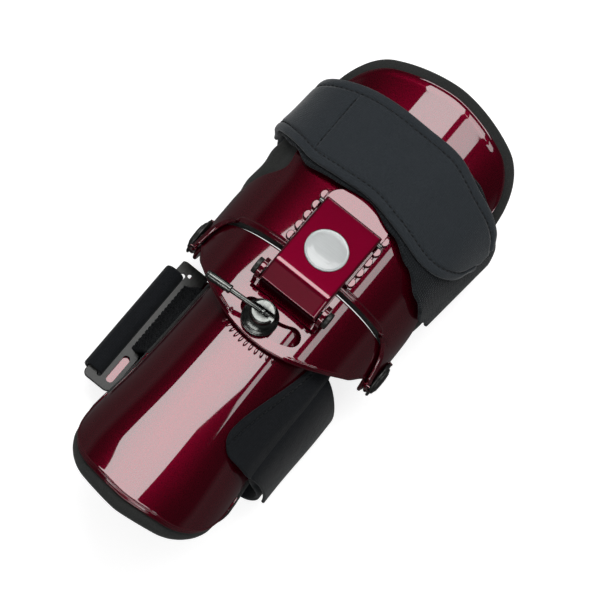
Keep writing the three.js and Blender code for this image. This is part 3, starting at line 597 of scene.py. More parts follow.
def shade_flats(piece: Piece, largest: float = 40.0) -> None:
    """Shades large faces flat, many-sided ones too unless they are small, and all others smooth.

    Args:
        piece: The piece.
        largest: Largest face that is shaded smooth, in square millimetres.
    """
    faces = piece.data.polygons
    area, sides = np.zeros(len(faces)), np.zeros(len(faces), np.int32)
    faces.foreach_get("area", area)
    faces.foreach_get("loop_total", sides)
    limit = np.where(sides > 4, largest * 0.12, largest) * MM * MM
    piece.data.set_sharp_from_angle(angle=math.radians(40))
    faces.foreach_set("use_smooth", area < limit)


def soften(piece: Piece, width: float, segments: int = 3, angle: float = 32.0) -> Piece:
    """Rounds a piece's sharp edges.

    Args:
        piece: The piece.
        width: Width of the rounding, in millimetres.
        segments: Steps across it.
        angle: Least angle of an edge that is rounded.

    Returns:
        The same piece.
    """
    bevel = piece.modifiers.new("edge", "BEVEL")
    bevel.width = width * MM
    bevel.segments = segments
    bevel.limit_method = "ANGLE"
    bevel.angle_limit = math.radians(angle)
    apply_modifiers(piece)
    shade_flats(piece)
    return piece


def cad_copy(node: str, name: str, width: float, segments: int = 3) -> Piece:
    """Copy of a CAD solid with its points merged, its flats joined and its edges rounded.

    Args:
        node: CAD node.
        name: Name of the copy.
        width: Width of the rounding, in millimetres.
        segments: Steps across it.

    Returns:
        The copy.
    """
    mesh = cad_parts[node].data.copy()
    mesh.name = name
    mesh.materials.clear()
    work = bmesh.new()
    work.from_mesh(mesh)
    bmesh.ops.remove_doubles(work, verts=work.verts, dist=0.004 * MM)
    bmesh.ops.dissolve_limit(work, angle_limit=math.radians(1), verts=work.verts, edges=work.edges)
    work.to_mesh(mesh)
    work.free()
    piece = bpy.data.objects.new(name, mesh)
    bpy.context.scene.collection.objects.link(piece)
    return soften(piece, width, segments)


def carve(piece: Piece, cutter: Piece) -> None:
    """Cuts a tool's shape out of a piece and removes the tool.

    Args:
        piece: The piece.
        cutter: The tool.
    """
    cut = piece.modifiers.new("cut", "BOOLEAN")
    cut.operation = "DIFFERENCE"
    cut.solver = "EXACT"
    cut.object = cutter
    bpy.context.view_layer.update()
    apply_modifiers(piece)
    bpy.data.objects.remove(cutter)
    shade_flats(piece)


def joined(name: str, pieces: Sequence[Piece]) -> Piece:
    """One mesh of several separate ones, which are removed.

    Args:
        name: Name of the result.
        pieces: Pieces to put together.

    Returns:
        The joined piece.
    """
    work = bmesh.new()
    for piece in pieces:
        work.from_mesh(piece.data)
        bpy.data.objects.remove(piece)
    mesh = bpy.data.meshes.new(name)
    work.to_mesh(mesh)
    work.free()
    made = bpy.data.objects.new(name, mesh)
    shade_flats(made)
    bpy.context.scene.collection.objects.link(made)
    return made


def prism(name: str, outline: Array, low: float, high: float, axis: str = "Z") -> Piece:
    """Straight prism of an outline.

    Args:
        name: Name of the piece.
        outline: Corners in the other two axes.
        low: Start along the axis.
        high: End along the axis.
        axis: Axis of the prism: X, Y or Z.

    Returns:
        The prism.
    """
    count = len(outline)
    rings = [np.insert(np.asarray(outline, float), "XYZ".index(axis), h, axis=1) for h in (low, high)]
    caps = [list(range(count))[::-1], [count + k for k in range(count)]]
    return make_piece(name, np.concatenate(rings), ring_quads(2, count), caps)


def stitch_line(
    name: str, path: Array, normal: Array, pitch: float = 2.9, length: float = 2.0,
    radius: float = 0.34, sides: int = 6,
) -> Piece:
    """Row of sewn stitches: short threads that rise out of the cloth and dip back into it.

    Each thread is a tube whose middle line is a straight run along the path
    plus a low half wave along the cloth's normal.

    Args:
        name: Name of the row.
        path: Points on the cloth.
        normal: The cloth's normal at each.
        pitch: Distance from stitch to stitch.
        length: Length of a stitch.
        radius: Radius of the thread.
        sides: Sides of the tube.

    Returns:
        All stitches as one mesh.
    """
    steps = np.linalg.norm(np.diff(path, axis=0), axis=1)
    line = np.concatenate([[0], np.cumsum(steps)])
    count = max(1, int(line[-1] / pitch))
    starts = (np.arange(count) + 0.5) * pitch - length / 2
    along = np.linspace(0, 1, 7)
    where = starts[:, None] + along[None] * length

    def at(values: Array) -> Array:
        """Values of the path at the threads' points."""
        return np.stack([np.interp(where, line, values[:, k]) for k in range(3)], -1)

    up = at(normal)
    up /= np.linalg.norm(up, axis=-1, keepdims=True)
    centre = at(path) + up * ((np.sin(along * np.pi) * 1.5 - 0.7) * radius)[None, :, None]
    forward = np.gradient(centre, axis=1)
    forward /= np.linalg.norm(forward, axis=-1, keepdims=True)
    side = np.cross(forward, up)
    angle = np.arange(sides) / sides * 2 * np.pi
    ring = (
        centre[:, :, None]
        + radius * np.cos(angle)[None, None, :, None] * side[:, :, None]
        + radius * np.sin(angle)[None, None, :, None] * up[:, :, None]
    )
    points = ring.reshape(-1, 3)
    starts = range(0, len(points), len(along) * sides)
    quads = np.array(starts)[:, None, None] + ring_quads(len(along), sides)
    caps = [[b + k for k in reversed(range(sides))] for b in starts]
    caps += [[b + (len(along) - 1) * sides + k for k in range(sides)] for b in starts]
    return make_piece(name, points, quads.reshape(-1, 4), caps)


class Nodes:
    """Short way to write a material's nodes."""

    def __init__(self, name: str) -> None:
        """Starts an empty material with a Principled shader.

        Args:
            name: Name of the material.
        """
        self.material = bpy.data.materials.new(name)
        self.material.use_nodes = True
        self.tree = self.material.node_tree
        self.shader = self.tree.nodes["Principled BSDF"]

    def set(self, **values: object) -> None:
        """Sets the shader's own sockets, named with underscores for spaces."""
        for key, value in values.items():
            self.shader.inputs[key.replace("_", " ")].default_value = value

    def add(self, kind: str, **values: object) -> bpy.types.Node:
        """Adds a node; values set its sockets by name, or its own properties.

        Args:
            kind: Kind of node.
            **values: Values of its sockets or properties.

        Returns:
            The node.
        """
        node = self.tree.nodes.new(kind)
        for key, value in values.items():
            label = key.replace("_", " ")
            if label in node.inputs:
                node.inputs[label].default_value = value
            else:
                setattr(node, key, value)
        return node

    def link(self, source: Socket, target: Socket) -> None:
        """Joins two sockets."""
        self.tree.links.new(source, target)

    def place(self, scale: Sequence[float] = (1, 1, 1), uv: bool = False) -> Socket:
        """Coordinates on the object or on the cloth, scaled.

        Args:
            scale: Scale of each axis.
            uv: True for the cloth's own places.

        Returns:
            The vector socket.
        """
        source = self.add("ShaderNodeTexCoord")
        mapping = self.add("ShaderNodeMapping")
        mapping.inputs["Scale"].default_value = scale
        self.link(source.outputs["UV" if uv else "Object"], mapping.inputs["Vector"])
        return mapping.outputs["Vector"]

    def noise(self, vector: Socket, scale: float, detail: float = 3.0) -> Socket:
        """Noise at a number of waves for each metre.

        Args:
            vector: Coordinates.
            scale: Waves for each metre.
            detail: Octaves.

        Returns:
            The noise's value.
        """
        node = self.add("ShaderNodeTexNoise", Scale=scale, Detail=detail)
        self.link(vector, node.inputs["Vector"])
        return node.outputs["Fac"]

    def ramp(self, fac: Socket, stops: Sequence[tuple[float, Sequence[float]]]) -> Socket:
        """Colour ramp with the stops given.

        Args:
            fac: Value to look up.
            stops: Place and colour of each stop.

        Returns:
            The colour.
        """
        node = self.add("ShaderNodeValToRGB")
        elements = node.color_ramp.elements
        while len(elements) < len(stops):
            elements.new(0.5)
        for element, (at, colour) in zip(elements, stops):
            element.position = at
            element.color = (*colour, 1.0)
        self.link(fac, node.inputs["Fac"])
        return node.outputs["Color"]

    def spread(self, fac: Socket, low: float, high: float) -> Socket:
        """Spreads a value from 0 to 1 over a range.

        Args:
            fac: Value from 0 to 1.
            low: Result for 0.
            high: Result for 1.

        Returns:
            The spread value.
        """
        node = self.add("ShaderNodeMapRange")
        node.inputs["To Min"].default_value = low
        node.inputs["To Max"].default_value = high
        self.link(fac, node.inputs["Value"])
        return node.outputs["Result"]

    def bump(self, height: Socket, depth: float, strength: float = 1.0) -> None:
        """Bump on the shader's normal, depth in metres.

        Args:
            height: Height to follow.
            depth: Depth in metres.
            strength: Strength.
        """
        node = self.add("ShaderNodeBump", Strength=strength, Distance=depth)
        self.link(height, node.inputs["Height"])
        if self.shader.inputs["Normal"].is_linked:
            self.link(self.shader.inputs["Normal"].links[0].from_socket, node.inputs["Normal"])
        self.link(node.outputs["Normal"], self.shader.inputs["Normal"])


@dataclass(frozen=True)
class CandyRed:
    """Deep red lacquer over bright metal: a soft red base under a mirror coat."""

    name: str = "candy_red"
    deep: Colour = (0.08, 0.0001, 0.0068)
    bright: Colour = (0.114, 0.0001, 0.01)

    def build(self) -> Material:
        """Makes the finish, with fine flake in the colour and faint brushing under the coat.

        Returns:
            The finish.
        """
        nodes = Nodes(self.name)
        nodes.set(Metallic=0.75, Specular_IOR_Level=0.0)
        nodes.set(Coat_Weight=1.0, Coat_Roughness=0.03, Coat_IOR=1.85)
        flake = nodes.noise(nodes.place(), 2600.0, 2.0)
        colour = nodes.ramp(flake, ((0.3, self.deep), (0.7, self.bright)))
        nodes.link(colour, nodes.shader.inputs["Base Color"])
        brushed = nodes.noise(nodes.place((1.0, 0.04, 1.0)), 900.0, 4.0)
        nodes.link(nodes.spread(brushed, 0.28, 0.4), nodes.shader.inputs["Roughness"])
        return nodes.material


@dataclass(frozen=True)
class Foam:
    """Matt closed-cell foam with fine pores."""

    dark: Colour = (0.018, 0.0185, 0.018)
    light: Colour = (0.03, 0.031, 0.03)

    def build(self) -> Material:
        """Makes the finish.

        Returns:
            The finish.
        """
        nodes = Nodes("grey_foam")
        nodes.set(Roughness=0.93, Specular_IOR_Level=0.15, Sheen_Weight=0.06, Sheen_Roughness=0.5)
        place = nodes.place()
        grain = nodes.noise(place, 1900.0, 4.0)
        colour = nodes.ramp(grain, ((0.35, self.dark), (0.65, self.light)))
        nodes.link(colour, nodes.shader.inputs["Base Color"])
        nodes.bump(grain, 0.00035, 0.6)
        nodes.bump(nodes.noise(place, 90.0, 2.0), 0.0012, 0.3)
        return nodes.material


@dataclass(frozen=True)
class Cloth:
    """Strap cloth: fine weave over soft unevenness."""

    name: str
    dark: Colour
    light: Colour
    threads: float = 330.0
    depth: float = 0.00025
    pile: float = 0.75
    shine: float = 0.3
    down: float = 0.25

    def build(self) -> Material:
        """Makes the finish, its weave following the cloth and its down standing off it.

        Returns:
            The finish.
        """
        nodes = Nodes(self.name)
        nodes.set(Roughness=0.88, Specular_IOR_Level=self.shine)
        nodes.set(Sheen_Weight=self.down, Sheen_Roughness=0.4)
        place = nodes.place(uv=True)
        weave = []
        for direction in ("X", "Y"):
            wave = nodes.add("ShaderNodeTexWave", Scale=self.threads, Distortion=0.6, Detail=1.0)
            wave.bands_direction = direction
            nodes.link(place, wave.inputs["Vector"])
            weave.append(wave.outputs["Fac"])
        cross = nodes.add("ShaderNodeMath", operation="MULTIPLY")
        nodes.link(weave[0], cross.inputs[0])
        nodes.link(weave[1], cross.inputs[1])
        fuzz = nodes.noise(nodes.place(), 1500.0, 5.0)
        mixed = nodes.add("ShaderNodeMath", operation="MULTIPLY_ADD")
        nodes.link(cross.outputs[0], mixed.inputs[0])
        mixed.inputs[1].default_value = 1 - self.pile
        nodes.link(fuzz, mixed.inputs[2])
        colour = nodes.ramp(mixed.outputs[0], ((0.3, self.dark), (0.95, self.light)))
        nodes.link(colour, nodes.shader.inputs["Base Color"])
        nodes.bump(mixed.outputs[0], self.depth, 0.8)
        nodes.bump(nodes.noise(nodes.place(), 140.0, 3.0), 0.0008, 0.35)
        return nodes.material


@dataclass(frozen=True)
class SpacerMesh:
    """Open black mesh cloth: rounded cells between ribs, each cell's hollow middle darkened by painted
    shade.
    """

    rib: Colour = (0.011, 0.012, 0.013)
    # hole: darker colour of each cell's hollow middle, painted shade.
    hole: Colour = (0.005, 0.005, 0.006)

    def build(self) -> Material:
        """Makes the finish.

        Returns:
            The finish.
        """
        nodes = Nodes("spacer_mesh")
        nodes.set(Roughness=0.8, Specular_IOR_Level=0.12)
        cells = nodes.add("ShaderNodeTexVoronoi", Scale=1.0)
        cells.feature = "DISTANCE_TO_EDGE"
        nodes.link(nodes.place((850.0, 850.0, 1.0), uv=True), cells.inputs["Vector"])
        # Darker towards the middle of each cell, where it is sunk: painted shade in the hollows.
        colour = nodes.ramp(cells.outputs["Distance"], ((0.12, self.rib), (0.3, self.hole)))
        nodes.link(colour, nodes.shader.inputs["Base Color"])
        turned_over = nodes.spread(cells.outputs["Distance"], 1.0, 0.0)
        nodes.bump(turned_over, 0.0009, 1.0)
        return nodes.material


@dataclass(frozen=True)
class DarkMetal:
    """Dark plated or coated metal with faint scratches."""

    name: str
    colour: Colour
    worn: Colour
    metallic: float
    smooth: float
    rough: float

    def build(self) -> Material:
        """Makes the finish.

        Returns:
            The finish.
        """
        nodes = Nodes(self.name)
        nodes.set(Metallic=self.metallic, Coat_Weight=0.15, Coat_Roughness=0.2)
        fine = nodes.noise(nodes.place((1.0, 0.2, 1.0)), 700.0, 5.0)
        colour = nodes.ramp(fine, ((0.35, self.colour), (0.8, self.worn)))
        nodes.link(colour, nodes.shader.inputs["Base Color"])
        nodes.link(nodes.spread(fine, self.smooth, self.rough), nodes.shader.inputs["Roughness"])
        nodes.bump(fine, 0.00006, 0.5)
        return nodes.material


@dataclass(frozen=True)
class Thread:
    """Dark sewing thread."""

    colour: Colour = (0.005, 0.006, 0.007)

    def build(self) -> Material:
        """Makes the finish, with a fine twist.

        Returns:
            The finish.
        """
        nodes = Nodes("sewing_thread")
        nodes.set(Roughness=0.6, Specular_IOR_Level=0.4)
        twist = nodes.noise(nodes.place(), 3500.0, 2.0)
        dim = tuple(0.6 * c for c in self.colour)
        nodes.link(nodes.ramp(twist, ((0.3, dim), (0.7, self.colour))), nodes.shader.inputs["Base Color"])
        nodes.bump(twist, 0.0001, 0.6)
        return nodes.material


@dataclass(frozen=True)
class SilverFace:
    """Bare silver disc under clear resin."""

    colour: Colour = (0.50, 0.52, 0.52)

    def build(self) -> Material:
        """Makes the finish, faintly brushed.

        Returns:
            The finish.
        """
        nodes = Nodes("silver_face")
        nodes.set(Metallic=0.15, Coat_Weight=1.0, Coat_Roughness=0.06, Coat_IOR=1.5)
        brushed = nodes.noise(nodes.place((0.06, 1.0, 1.0)), 1600.0, 3.0)
        dim = tuple(0.9 * c for c in self.colour)
        nodes.link(nodes.ramp(brushed, ((0.3, dim), (0.7, self.colour))), nodes.shader.inputs["Base Color"])
        nodes.link(nodes.spread(brushed, 0.4, 0.55), nodes.shader.inputs["Roughness"])
        return nodes.material


class Paints:
    """All finishes of the glove, made once."""

    def __init__(self) -> None:
        """Builds each finish."""
        self.red = CandyRed().build()
        # The latch block's candy red is a brighter copy of the same lacquer: painted light, standing in for
        # the light that falls on the block.
        self.block = CandyRed("candy_red_block_painted_light", (0.13, 0.0001, 0.012), (0.17, 0.0002, 0.018)).build()
        self.foam = Foam().build()
        self.strap = Cloth("strap_cloth", (0.012, 0.0155, 0.019), (0.027, 0.0325, 0.038)).build()
        palm = Cloth("palm_cloth", (0.006, 0.0068, 0.008), (0.014, 0.0155, 0.018), shine=0.1, down=0.08)
        self.palm = palm.build()
        dark, light = (0.004, 0.005, 0.006), (0.018, 0.021, 0.024)
        self.pile = Cloth("loop_pile", dark, light, 260.0, 0.0007, 0.4, 0.14, 0.1).build()
        self.mesh = SpacerMesh().build()
        steel = DarkMetal("black_steel", (0.016, 0.0165, 0.0155), (0.032, 0.032, 0.03), 0.4, 0.34, 0.5)
        self.steel = steel.build()
        gunmetal = DarkMetal("gunmetal", (0.12, 0.125, 0.118), (0.2, 0.21, 0.2), 1.0, 0.18, 0.3)
        self.gunmetal = gunmetal.build()
        self.thread = Thread().build()
        self.badge = SilverFace().build()


def dress(piece: Piece, paint: Material, body: Body, nodes: Sequence[str] = ()) -> Piece:
    """Gives a piece its finish, its body and the CAD nodes that it stands for.

    Args:
        piece: The piece.
        paint: Its material.
        body: Body that it rides on.
        nodes: CAD nodes that it replaces.

    Returns:
        The same piece.
    """
    piece.data.materials.clear()
    piece.data.materials.append(paint)
    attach(piece, body.value)
    if nodes:
        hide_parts(*nodes)
    LOG.info("%s: %d faces, rides on %s", piece.name, len(piece.data.polygons), body.value)
    return piece


@dataclass(frozen=True)
class Rack:
    """Plate on the forearm shell with two notched rails, their outward teeth and a half-round end."""

    base: float
    inside: float = 17.2
    metal: float = 1.5
    height: float = 6.0
    start: float = 12.5
    rail_end: float = 43.0
    end: float = 53.5
    last_notch: float = 36.6
    pitch: float = 6.6
    notches: int = 4
    notch: float = 2.7
    notch_lift: float = 0.5
    tooth: float = 1.9
    tooth_half: float = 2.4
    tooth_out: float = 18.4
    tooth_metal: float = 2.5
    bow_inset: float = 1.2
    sunk: float = 0.5

    def plate(self) -> Piece:
        """Flat plate whose rear end is half an ellipse.

        Returns:
            The plate.
        """
        half = self.inside + self.metal
        turn = np.linspace(0, np.pi, 33)
        depth = self.end - self.rail_end
        wide = half - self.bow_inset
        bow = np.column_stack([wide * np.cos(turn), self.rail_end + depth * np.sin(turn)])
        square = [(-half, self.rail_end), (-half, self.start), (half, self.start), (half, self.rail_end)]
        outline = np.concatenate([bow, square])
        return soften(prism("plate", outline, self.base, self.base + self.metal), 0.45)

    def rail(self, side: int) -> Piece:
        """Upright rail with round notches in its top edge.

        Args:
            side: 1 for the right, -1 for the left.

        Returns:
            The rail.
        """
        top = self.base + self.height
        half_chord = math.sqrt(self.notch**2 - self.notch_lift**2)
        turn = np.linspace(math.pi + math.asin(self.notch_lift / self.notch), 2 * math.pi, 12)
        turn[-1] -= math.asin(self.notch_lift / self.notch)
        line = [(self.start, self.base + self.sunk), (self.start, top)]
        for k in range(self.notches - 1, -1, -1):
            middle = self.last_notch - k * self.pitch
            line.append((middle - half_chord, top))
            y = middle + self.notch * np.cos(turn[1:-1])
            z = top + self.notch_lift + self.notch * np.sin(turn[1:-1])
            line.extend(zip(y, z))
            line.append((middle + half_chord, top))
        line += [(self.rail_end, top), (self.rail_end, self.base + self.sunk)]
        low, high = sorted((side * self.inside, side * (self.inside + self.metal)))
        return soften(prism("rail", np.array(line), low, high, "X"), 0.25, 2, 40)

    def teeth(self, side: int) -> list[Piece]:
        """Round teeth bent outwards between the notches.

        Args:
            side: 1 for the right, -1 for the left.

        Returns:
            The teeth.
        """
        top = self.base + self.height + 0.1
        root = side * (self.inside + 0.2)
        turn = np.linspace(-np.pi / 2, np.pi / 2, 15)
        made = []
        for k in range(self.notches + 1):
            middle = self.last_notch + self.pitch * (0.5 - k)
            x = side * (self.tooth_out + self.tooth * np.cos(turn))
            y = middle + self.tooth_half * np.sin(turn)
            outline = np.column_stack([np.append(x, [root, root]), np.append(y, [y[-1], y[0]])])
            made.append(soften(prism("tooth", outline, top - self.tooth_metal, top), 0.35))
        return made

    def build(self) -> Piece:
        """Makes the rack of all its parts."""
        rails = [self.rail(-1), self.rail(1)]
        return joined("latch_rack", [self.plate(), *rails, *self.teeth(-1), *self.teeth(1)])


@dataclass(frozen=True)
class Forearm:
    """Forearm shell with its ears, its foam and the rack."""

    half: float = 54.2
    rise: float = 40.0
    height: float = 30.0
    ear: float = 10.0
    ear_cut: float = 0.95
    reach: float = 123.0
    front: float = 10.0
    corner: float = 18.0
    bow: float = 13.0
    pad_corner: float = 22.0
    pad_bow: float = 15.0
    bow_power: float = 1.6
    pad_margin: float = 6.5
    pad_start: float = 9.0
    pad: float = 5.0
    metal: float = 1.8
    gap: float = 0.3

    @property
    def arch(self) -> Arch:
        """Arch of the shell's outside."""
        return Arch(self.rise, self.height)

    @property
    def crown(self) -> float:
        """Height of the crown."""
        return self.height + self.rise

    def half_at(self, y: Array) -> Array:
        """Half width at a place along the arm."""
        return self.half * column(FOREARM_ROWS, "half", "along", y / self.reach)

    def edge_at(self, y: Array) -> Array:
        """Height of the shell's side edge."""
        return self.height + self.rise * column(FOREARM_ROWS, "edge", "along", y / self.reach)

    @property
    def far_arc(self) -> float:
        """Distance round the far section from crown to edge."""
        end = np.array(self.reach)
        return float(self.arch.reach(self.half_at(end), self.edge_at(end)))

    def ear_front(self, distance: Array, radius: float, straight: Array) -> Array:
        """Front edge: a circle round the ear, eased into the straight edge above it.

        Args:
            distance: Signed distance round the arch.
            radius: Radius of the ear.
            straight: Place of the straight edge.

        Returns:
            The edge's Y.
        """
        off = np.abs(distance) - float(self.arch.reach(np.array(self.half), np.array(self.height)))
        bulge = -np.sqrt(np.maximum(0, radius * radius - off * off))
        k = eased(-2.6 * radius, -0.7 * radius, off)
        return np.where(off > -0.7 * radius, bulge, straight * (1 - k) - 0.714 * radius * k)

    def shell_surface(self, u: Array, v: Array) -> Array:
        """Outside of the shell: arch sections from the eared front to the bowed far end.

        Args:
            u: Shares across.
            v: Shares along.

        Returns:
            Points.
        """
        w = 2 * u - 1
        ear_low = np.array(self.height - self.ear_cut * self.ear)
        ear_arc = float(self.arch.reach(np.array(self.half), ear_low))
        start = self.ear_front(w * ear_arc, self.ear, self.front)
        rear = self.reach - end_fall(w, self.far_arc, self.corner, self.bow, self.bow_power)
        y = start + (rear - start) * v**1.5
        drop = self.ear * np.sqrt(np.maximum(0, self.ear_cut**2 - (y / self.ear) ** 2))
        half = self.half_at(y)
        x, z = self.arch.point(half, w * self.arch.reach(half, self.edge_at(y) - drop))
        return np.stack([x, y, z], -1)

    def pad_surface(self, u: Array, v: Array) -> Array:
        """Surface that the foam lies along: the shell's arch carried past its edges.

        Args:
            u: Shares across.
            v: Shares along.

        Returns:
            Points.
        """
        roll = self.pad * 0.35
        w = 2 * u - 1
        far = FOREARM_ROWS[-1].foam - roll
        end = self.reach + self.pad_margin - roll
        rear = end - end_fall(w, self.far_arc + far, self.pad_corner, self.pad_bow, self.bow_power)
        y = self.pad_start + roll + (rear - self.pad_start - roll) * v
        half = self.half_at(y)
        margin = np.maximum(column(FOREARM_ROWS, "foam", "along", y / self.reach) - roll, -roll)
        x, z = self.arch.point(half, w * (self.arch.reach(half, self.edge_at(y)) + margin))
        return np.stack([x, y, z], -1)

    def pad_relief(self, u: Array, v: Array, points: Array) -> Array:
        """Foam rises where the shell no longer presses it: past the far end and the sides.

        Args:
            u: Shares across.
            v: Shares along.
            points: Points there.

        Returns:
            Heights.
        """
        free = eased(0.9, 0.98, v)
        side = eased(0.84, 1.0, np.abs(2 * u - 1))
        lobe = eased(22, 36, points[..., 1]) * eased(66, 50, points[..., 1])
        return np.maximum(0.9 * free, side * (0.9 + 2.4 * lobe))

    def build(self, paints: Paints) -> None:
        """Makes the shell, the foam and the rack.

        Args:
            paints: All finishes.
        """
        shell, _ = sheet_piece(
            "forearm_red_shell", self.shell_surface, (220, 100), 0, -self.metal, roundness=0.7,
            relief=lambda u, v, points: lip(points, 0) + lip(points, -1, 0.35),
        )
        dress(shell, paints.red, Body.FOREARM, ["forearm_shell"])
        offset = self.metal + 2 * self.gap
        pad, _ = sheet_piece(
            "forearm_foam", self.pad_surface, (150, 90), -offset, -offset - self.pad, rim=8,
            roundness=0.7, relief=self.pad_relief, sharp=80,
        )
        dress(pad, paints.foam, Body.FOREARM, ["forearm_pad"])
        rack = Rack(self.crown + self.gap).build()
        dress(rack, paints.red, Body.FOREARM, ["rack"])


@dataclass(frozen=True)
class Saddle:
    """Red saddle over the wrist with its kidney slot and its lugs."""

    forearm: Forearm
    front: float = 36.0
    rear: float = 7.2
    ear: float = 9.5
    curve: float = 0.0088
    running: float = 1.0
    pivot: float = -1.0
    slot_radius: float = 25.2
    slot_width: float = 10.0
    slot_start: float = -27.0
    slot_end: float = 29.0

    @property
    def offset(self) -> float:
        """Outside of the saddle below the forearm's arch."""
        return self.forearm.metal + self.running

    @property
    def crown(self) -> float:
        """Height of the saddle's crown."""
        return self.forearm.crown - self.offset

    def surface(self, u: Array, v: Array) -> Array:
        """The hinge arch between the saddle's curved front edge and its straight rear edge.

        Args:
            u: Shares across.
            v: Shares along.

        Returns:
            Points.
        """
        arm = self.forearm
        half = np.array(arm.half)
        length = float(arm.arch.reach(half, np.array(arm.height))) + 0.95 * self.ear
        distance = (2 * u - 1) * length
        x, z = arm.arch.point(half, distance)
        front = arm.ear_front(distance, self.ear, self.curve * x * x - self.front)
        rear = arm.ear_front(distance, self.ear, -self.rear)
        return np.stack([x, front - (rear + front) * v, z], -1)

    def slot_outline(self, steps: int = 24) -> Array:
        """Kidney outline: two arcs about the pivot joined by half circles.

        Args:
            steps: Points on each long arc.

        Returns:
            Its corners in X and Y.
        """
        turn = np.radians(np.linspace(self.slot_start, self.slot_end, steps))
        half = self.slot_width / 2

        def arc(radius: float, angles: Array) -> Array:
            """Points at a radius about the pivot."""
            return np.column_stack([radius * np.sin(angles), self.pivot - radius * np.cos(angles)])

        def cap(angle: float, way: float) -> Array:
            """Half circle round an end of the slot.

            Args:
                angle: Angle of the end about the pivot.
                way: 1 or -1, the side on which the half circle lies.

            Returns:
                Its points between the two long arcs.
            """
            centre = arc(self.slot_radius, np.array([angle]))[0]
            spread = np.linspace(0, np.pi, 13)[1:-1]
            out = np.array([math.sin(angle), -math.cos(angle)])
            across = np.array([math.cos(angle), math.sin(angle)]) * way
            return centre + half * (np.cos(spread)[:, None] * out * way + np.sin(spread)[:, None] * across)

        return np.concatenate(
            [
                arc(self.slot_radius + half, turn),
                cap(turn[-1], 1.0),
                arc(self.slot_radius - half, turn[::-1]),
                cap(turn[0], -1.0),
            ]
        )

    def build(self, paints: Paints) -> None:
        """Makes the saddle with its slot, the lug bracket and the cross bolt.

        Args:
            paints: All finishes.
        """
        piece, _ = sheet_piece(
            "wrist_saddle", self.surface, (240, 56), -self.offset, -self.offset - self.forearm.metal,
            roundness=0.7,
            relief=lambda u, v, points: lip(points, 0, 0.45) * eased(15, 22, np.abs(points[..., 0])),
            crowd=0.6,
        )
        cutter = prism("slot_tool", self.slot_outline(), self.crown - 12, self.crown + 5)
        carve(piece, cutter)
        dress(piece, paints.red, Body.WRIST, ["saddle"])
        lugs = cad_copy("lug_bracket", "block_lugs", 0.35)
        dress(lugs, paints.red, Body.WRIST, ["lug_bracket"])
        bolt = cad_copy("cross_bolt", "lug_bolt", 0.5)
        dress(bolt, paints.steel, Body.WRIST, ["cross_bolt"])


@dataclass(frozen=True)
class Rivets:
    """Wrist rivets: a washer, a stepped head and a low dome."""

    forearm: Forearm
    washer: float = 9.6
    head: float = 7.5
    shank: float = 2.4
    inner: float = 50.0

    def build(self, paints: Paints) -> None:
        """Makes both rivets.

        Args:
            paints: All finishes.
        """
        seat = self.forearm.half + self.forearm.gap
        low, washer, head = self.inner, self.washer, self.head
        profile = (
            (0, low - 1.4), (3.2, low - 1.4), (3.6, low - 1.0), (3.6, low - 0.6), (self.shank, low - 0.6),
            (self.shank, seat), (washer - 0.3, seat), (washer, seat + 0.3), (washer, seat + 0.9),
            (washer - 0.4, seat + 1.3), (head, seat + 1.35), (head, seat + 1.9), (head - 0.3, seat + 2.2),
            (5.4, seat + 2.75), (5.2, seat + 2.95), (3.4, seat + 3.15), (0, seat + 3.2),
        )
        for side, node in ((-1, "rivet_left"), (1, "rivet_right")):
            turn = Matrix.Rotation(side * math.pi / 2, 4, "Y")
            piece = turned(f"wrist_{node}", profile, turn, (0, 0, self.forearm.height), 72)
            dress(piece, paints.steel, Body.FOREARM, [node])


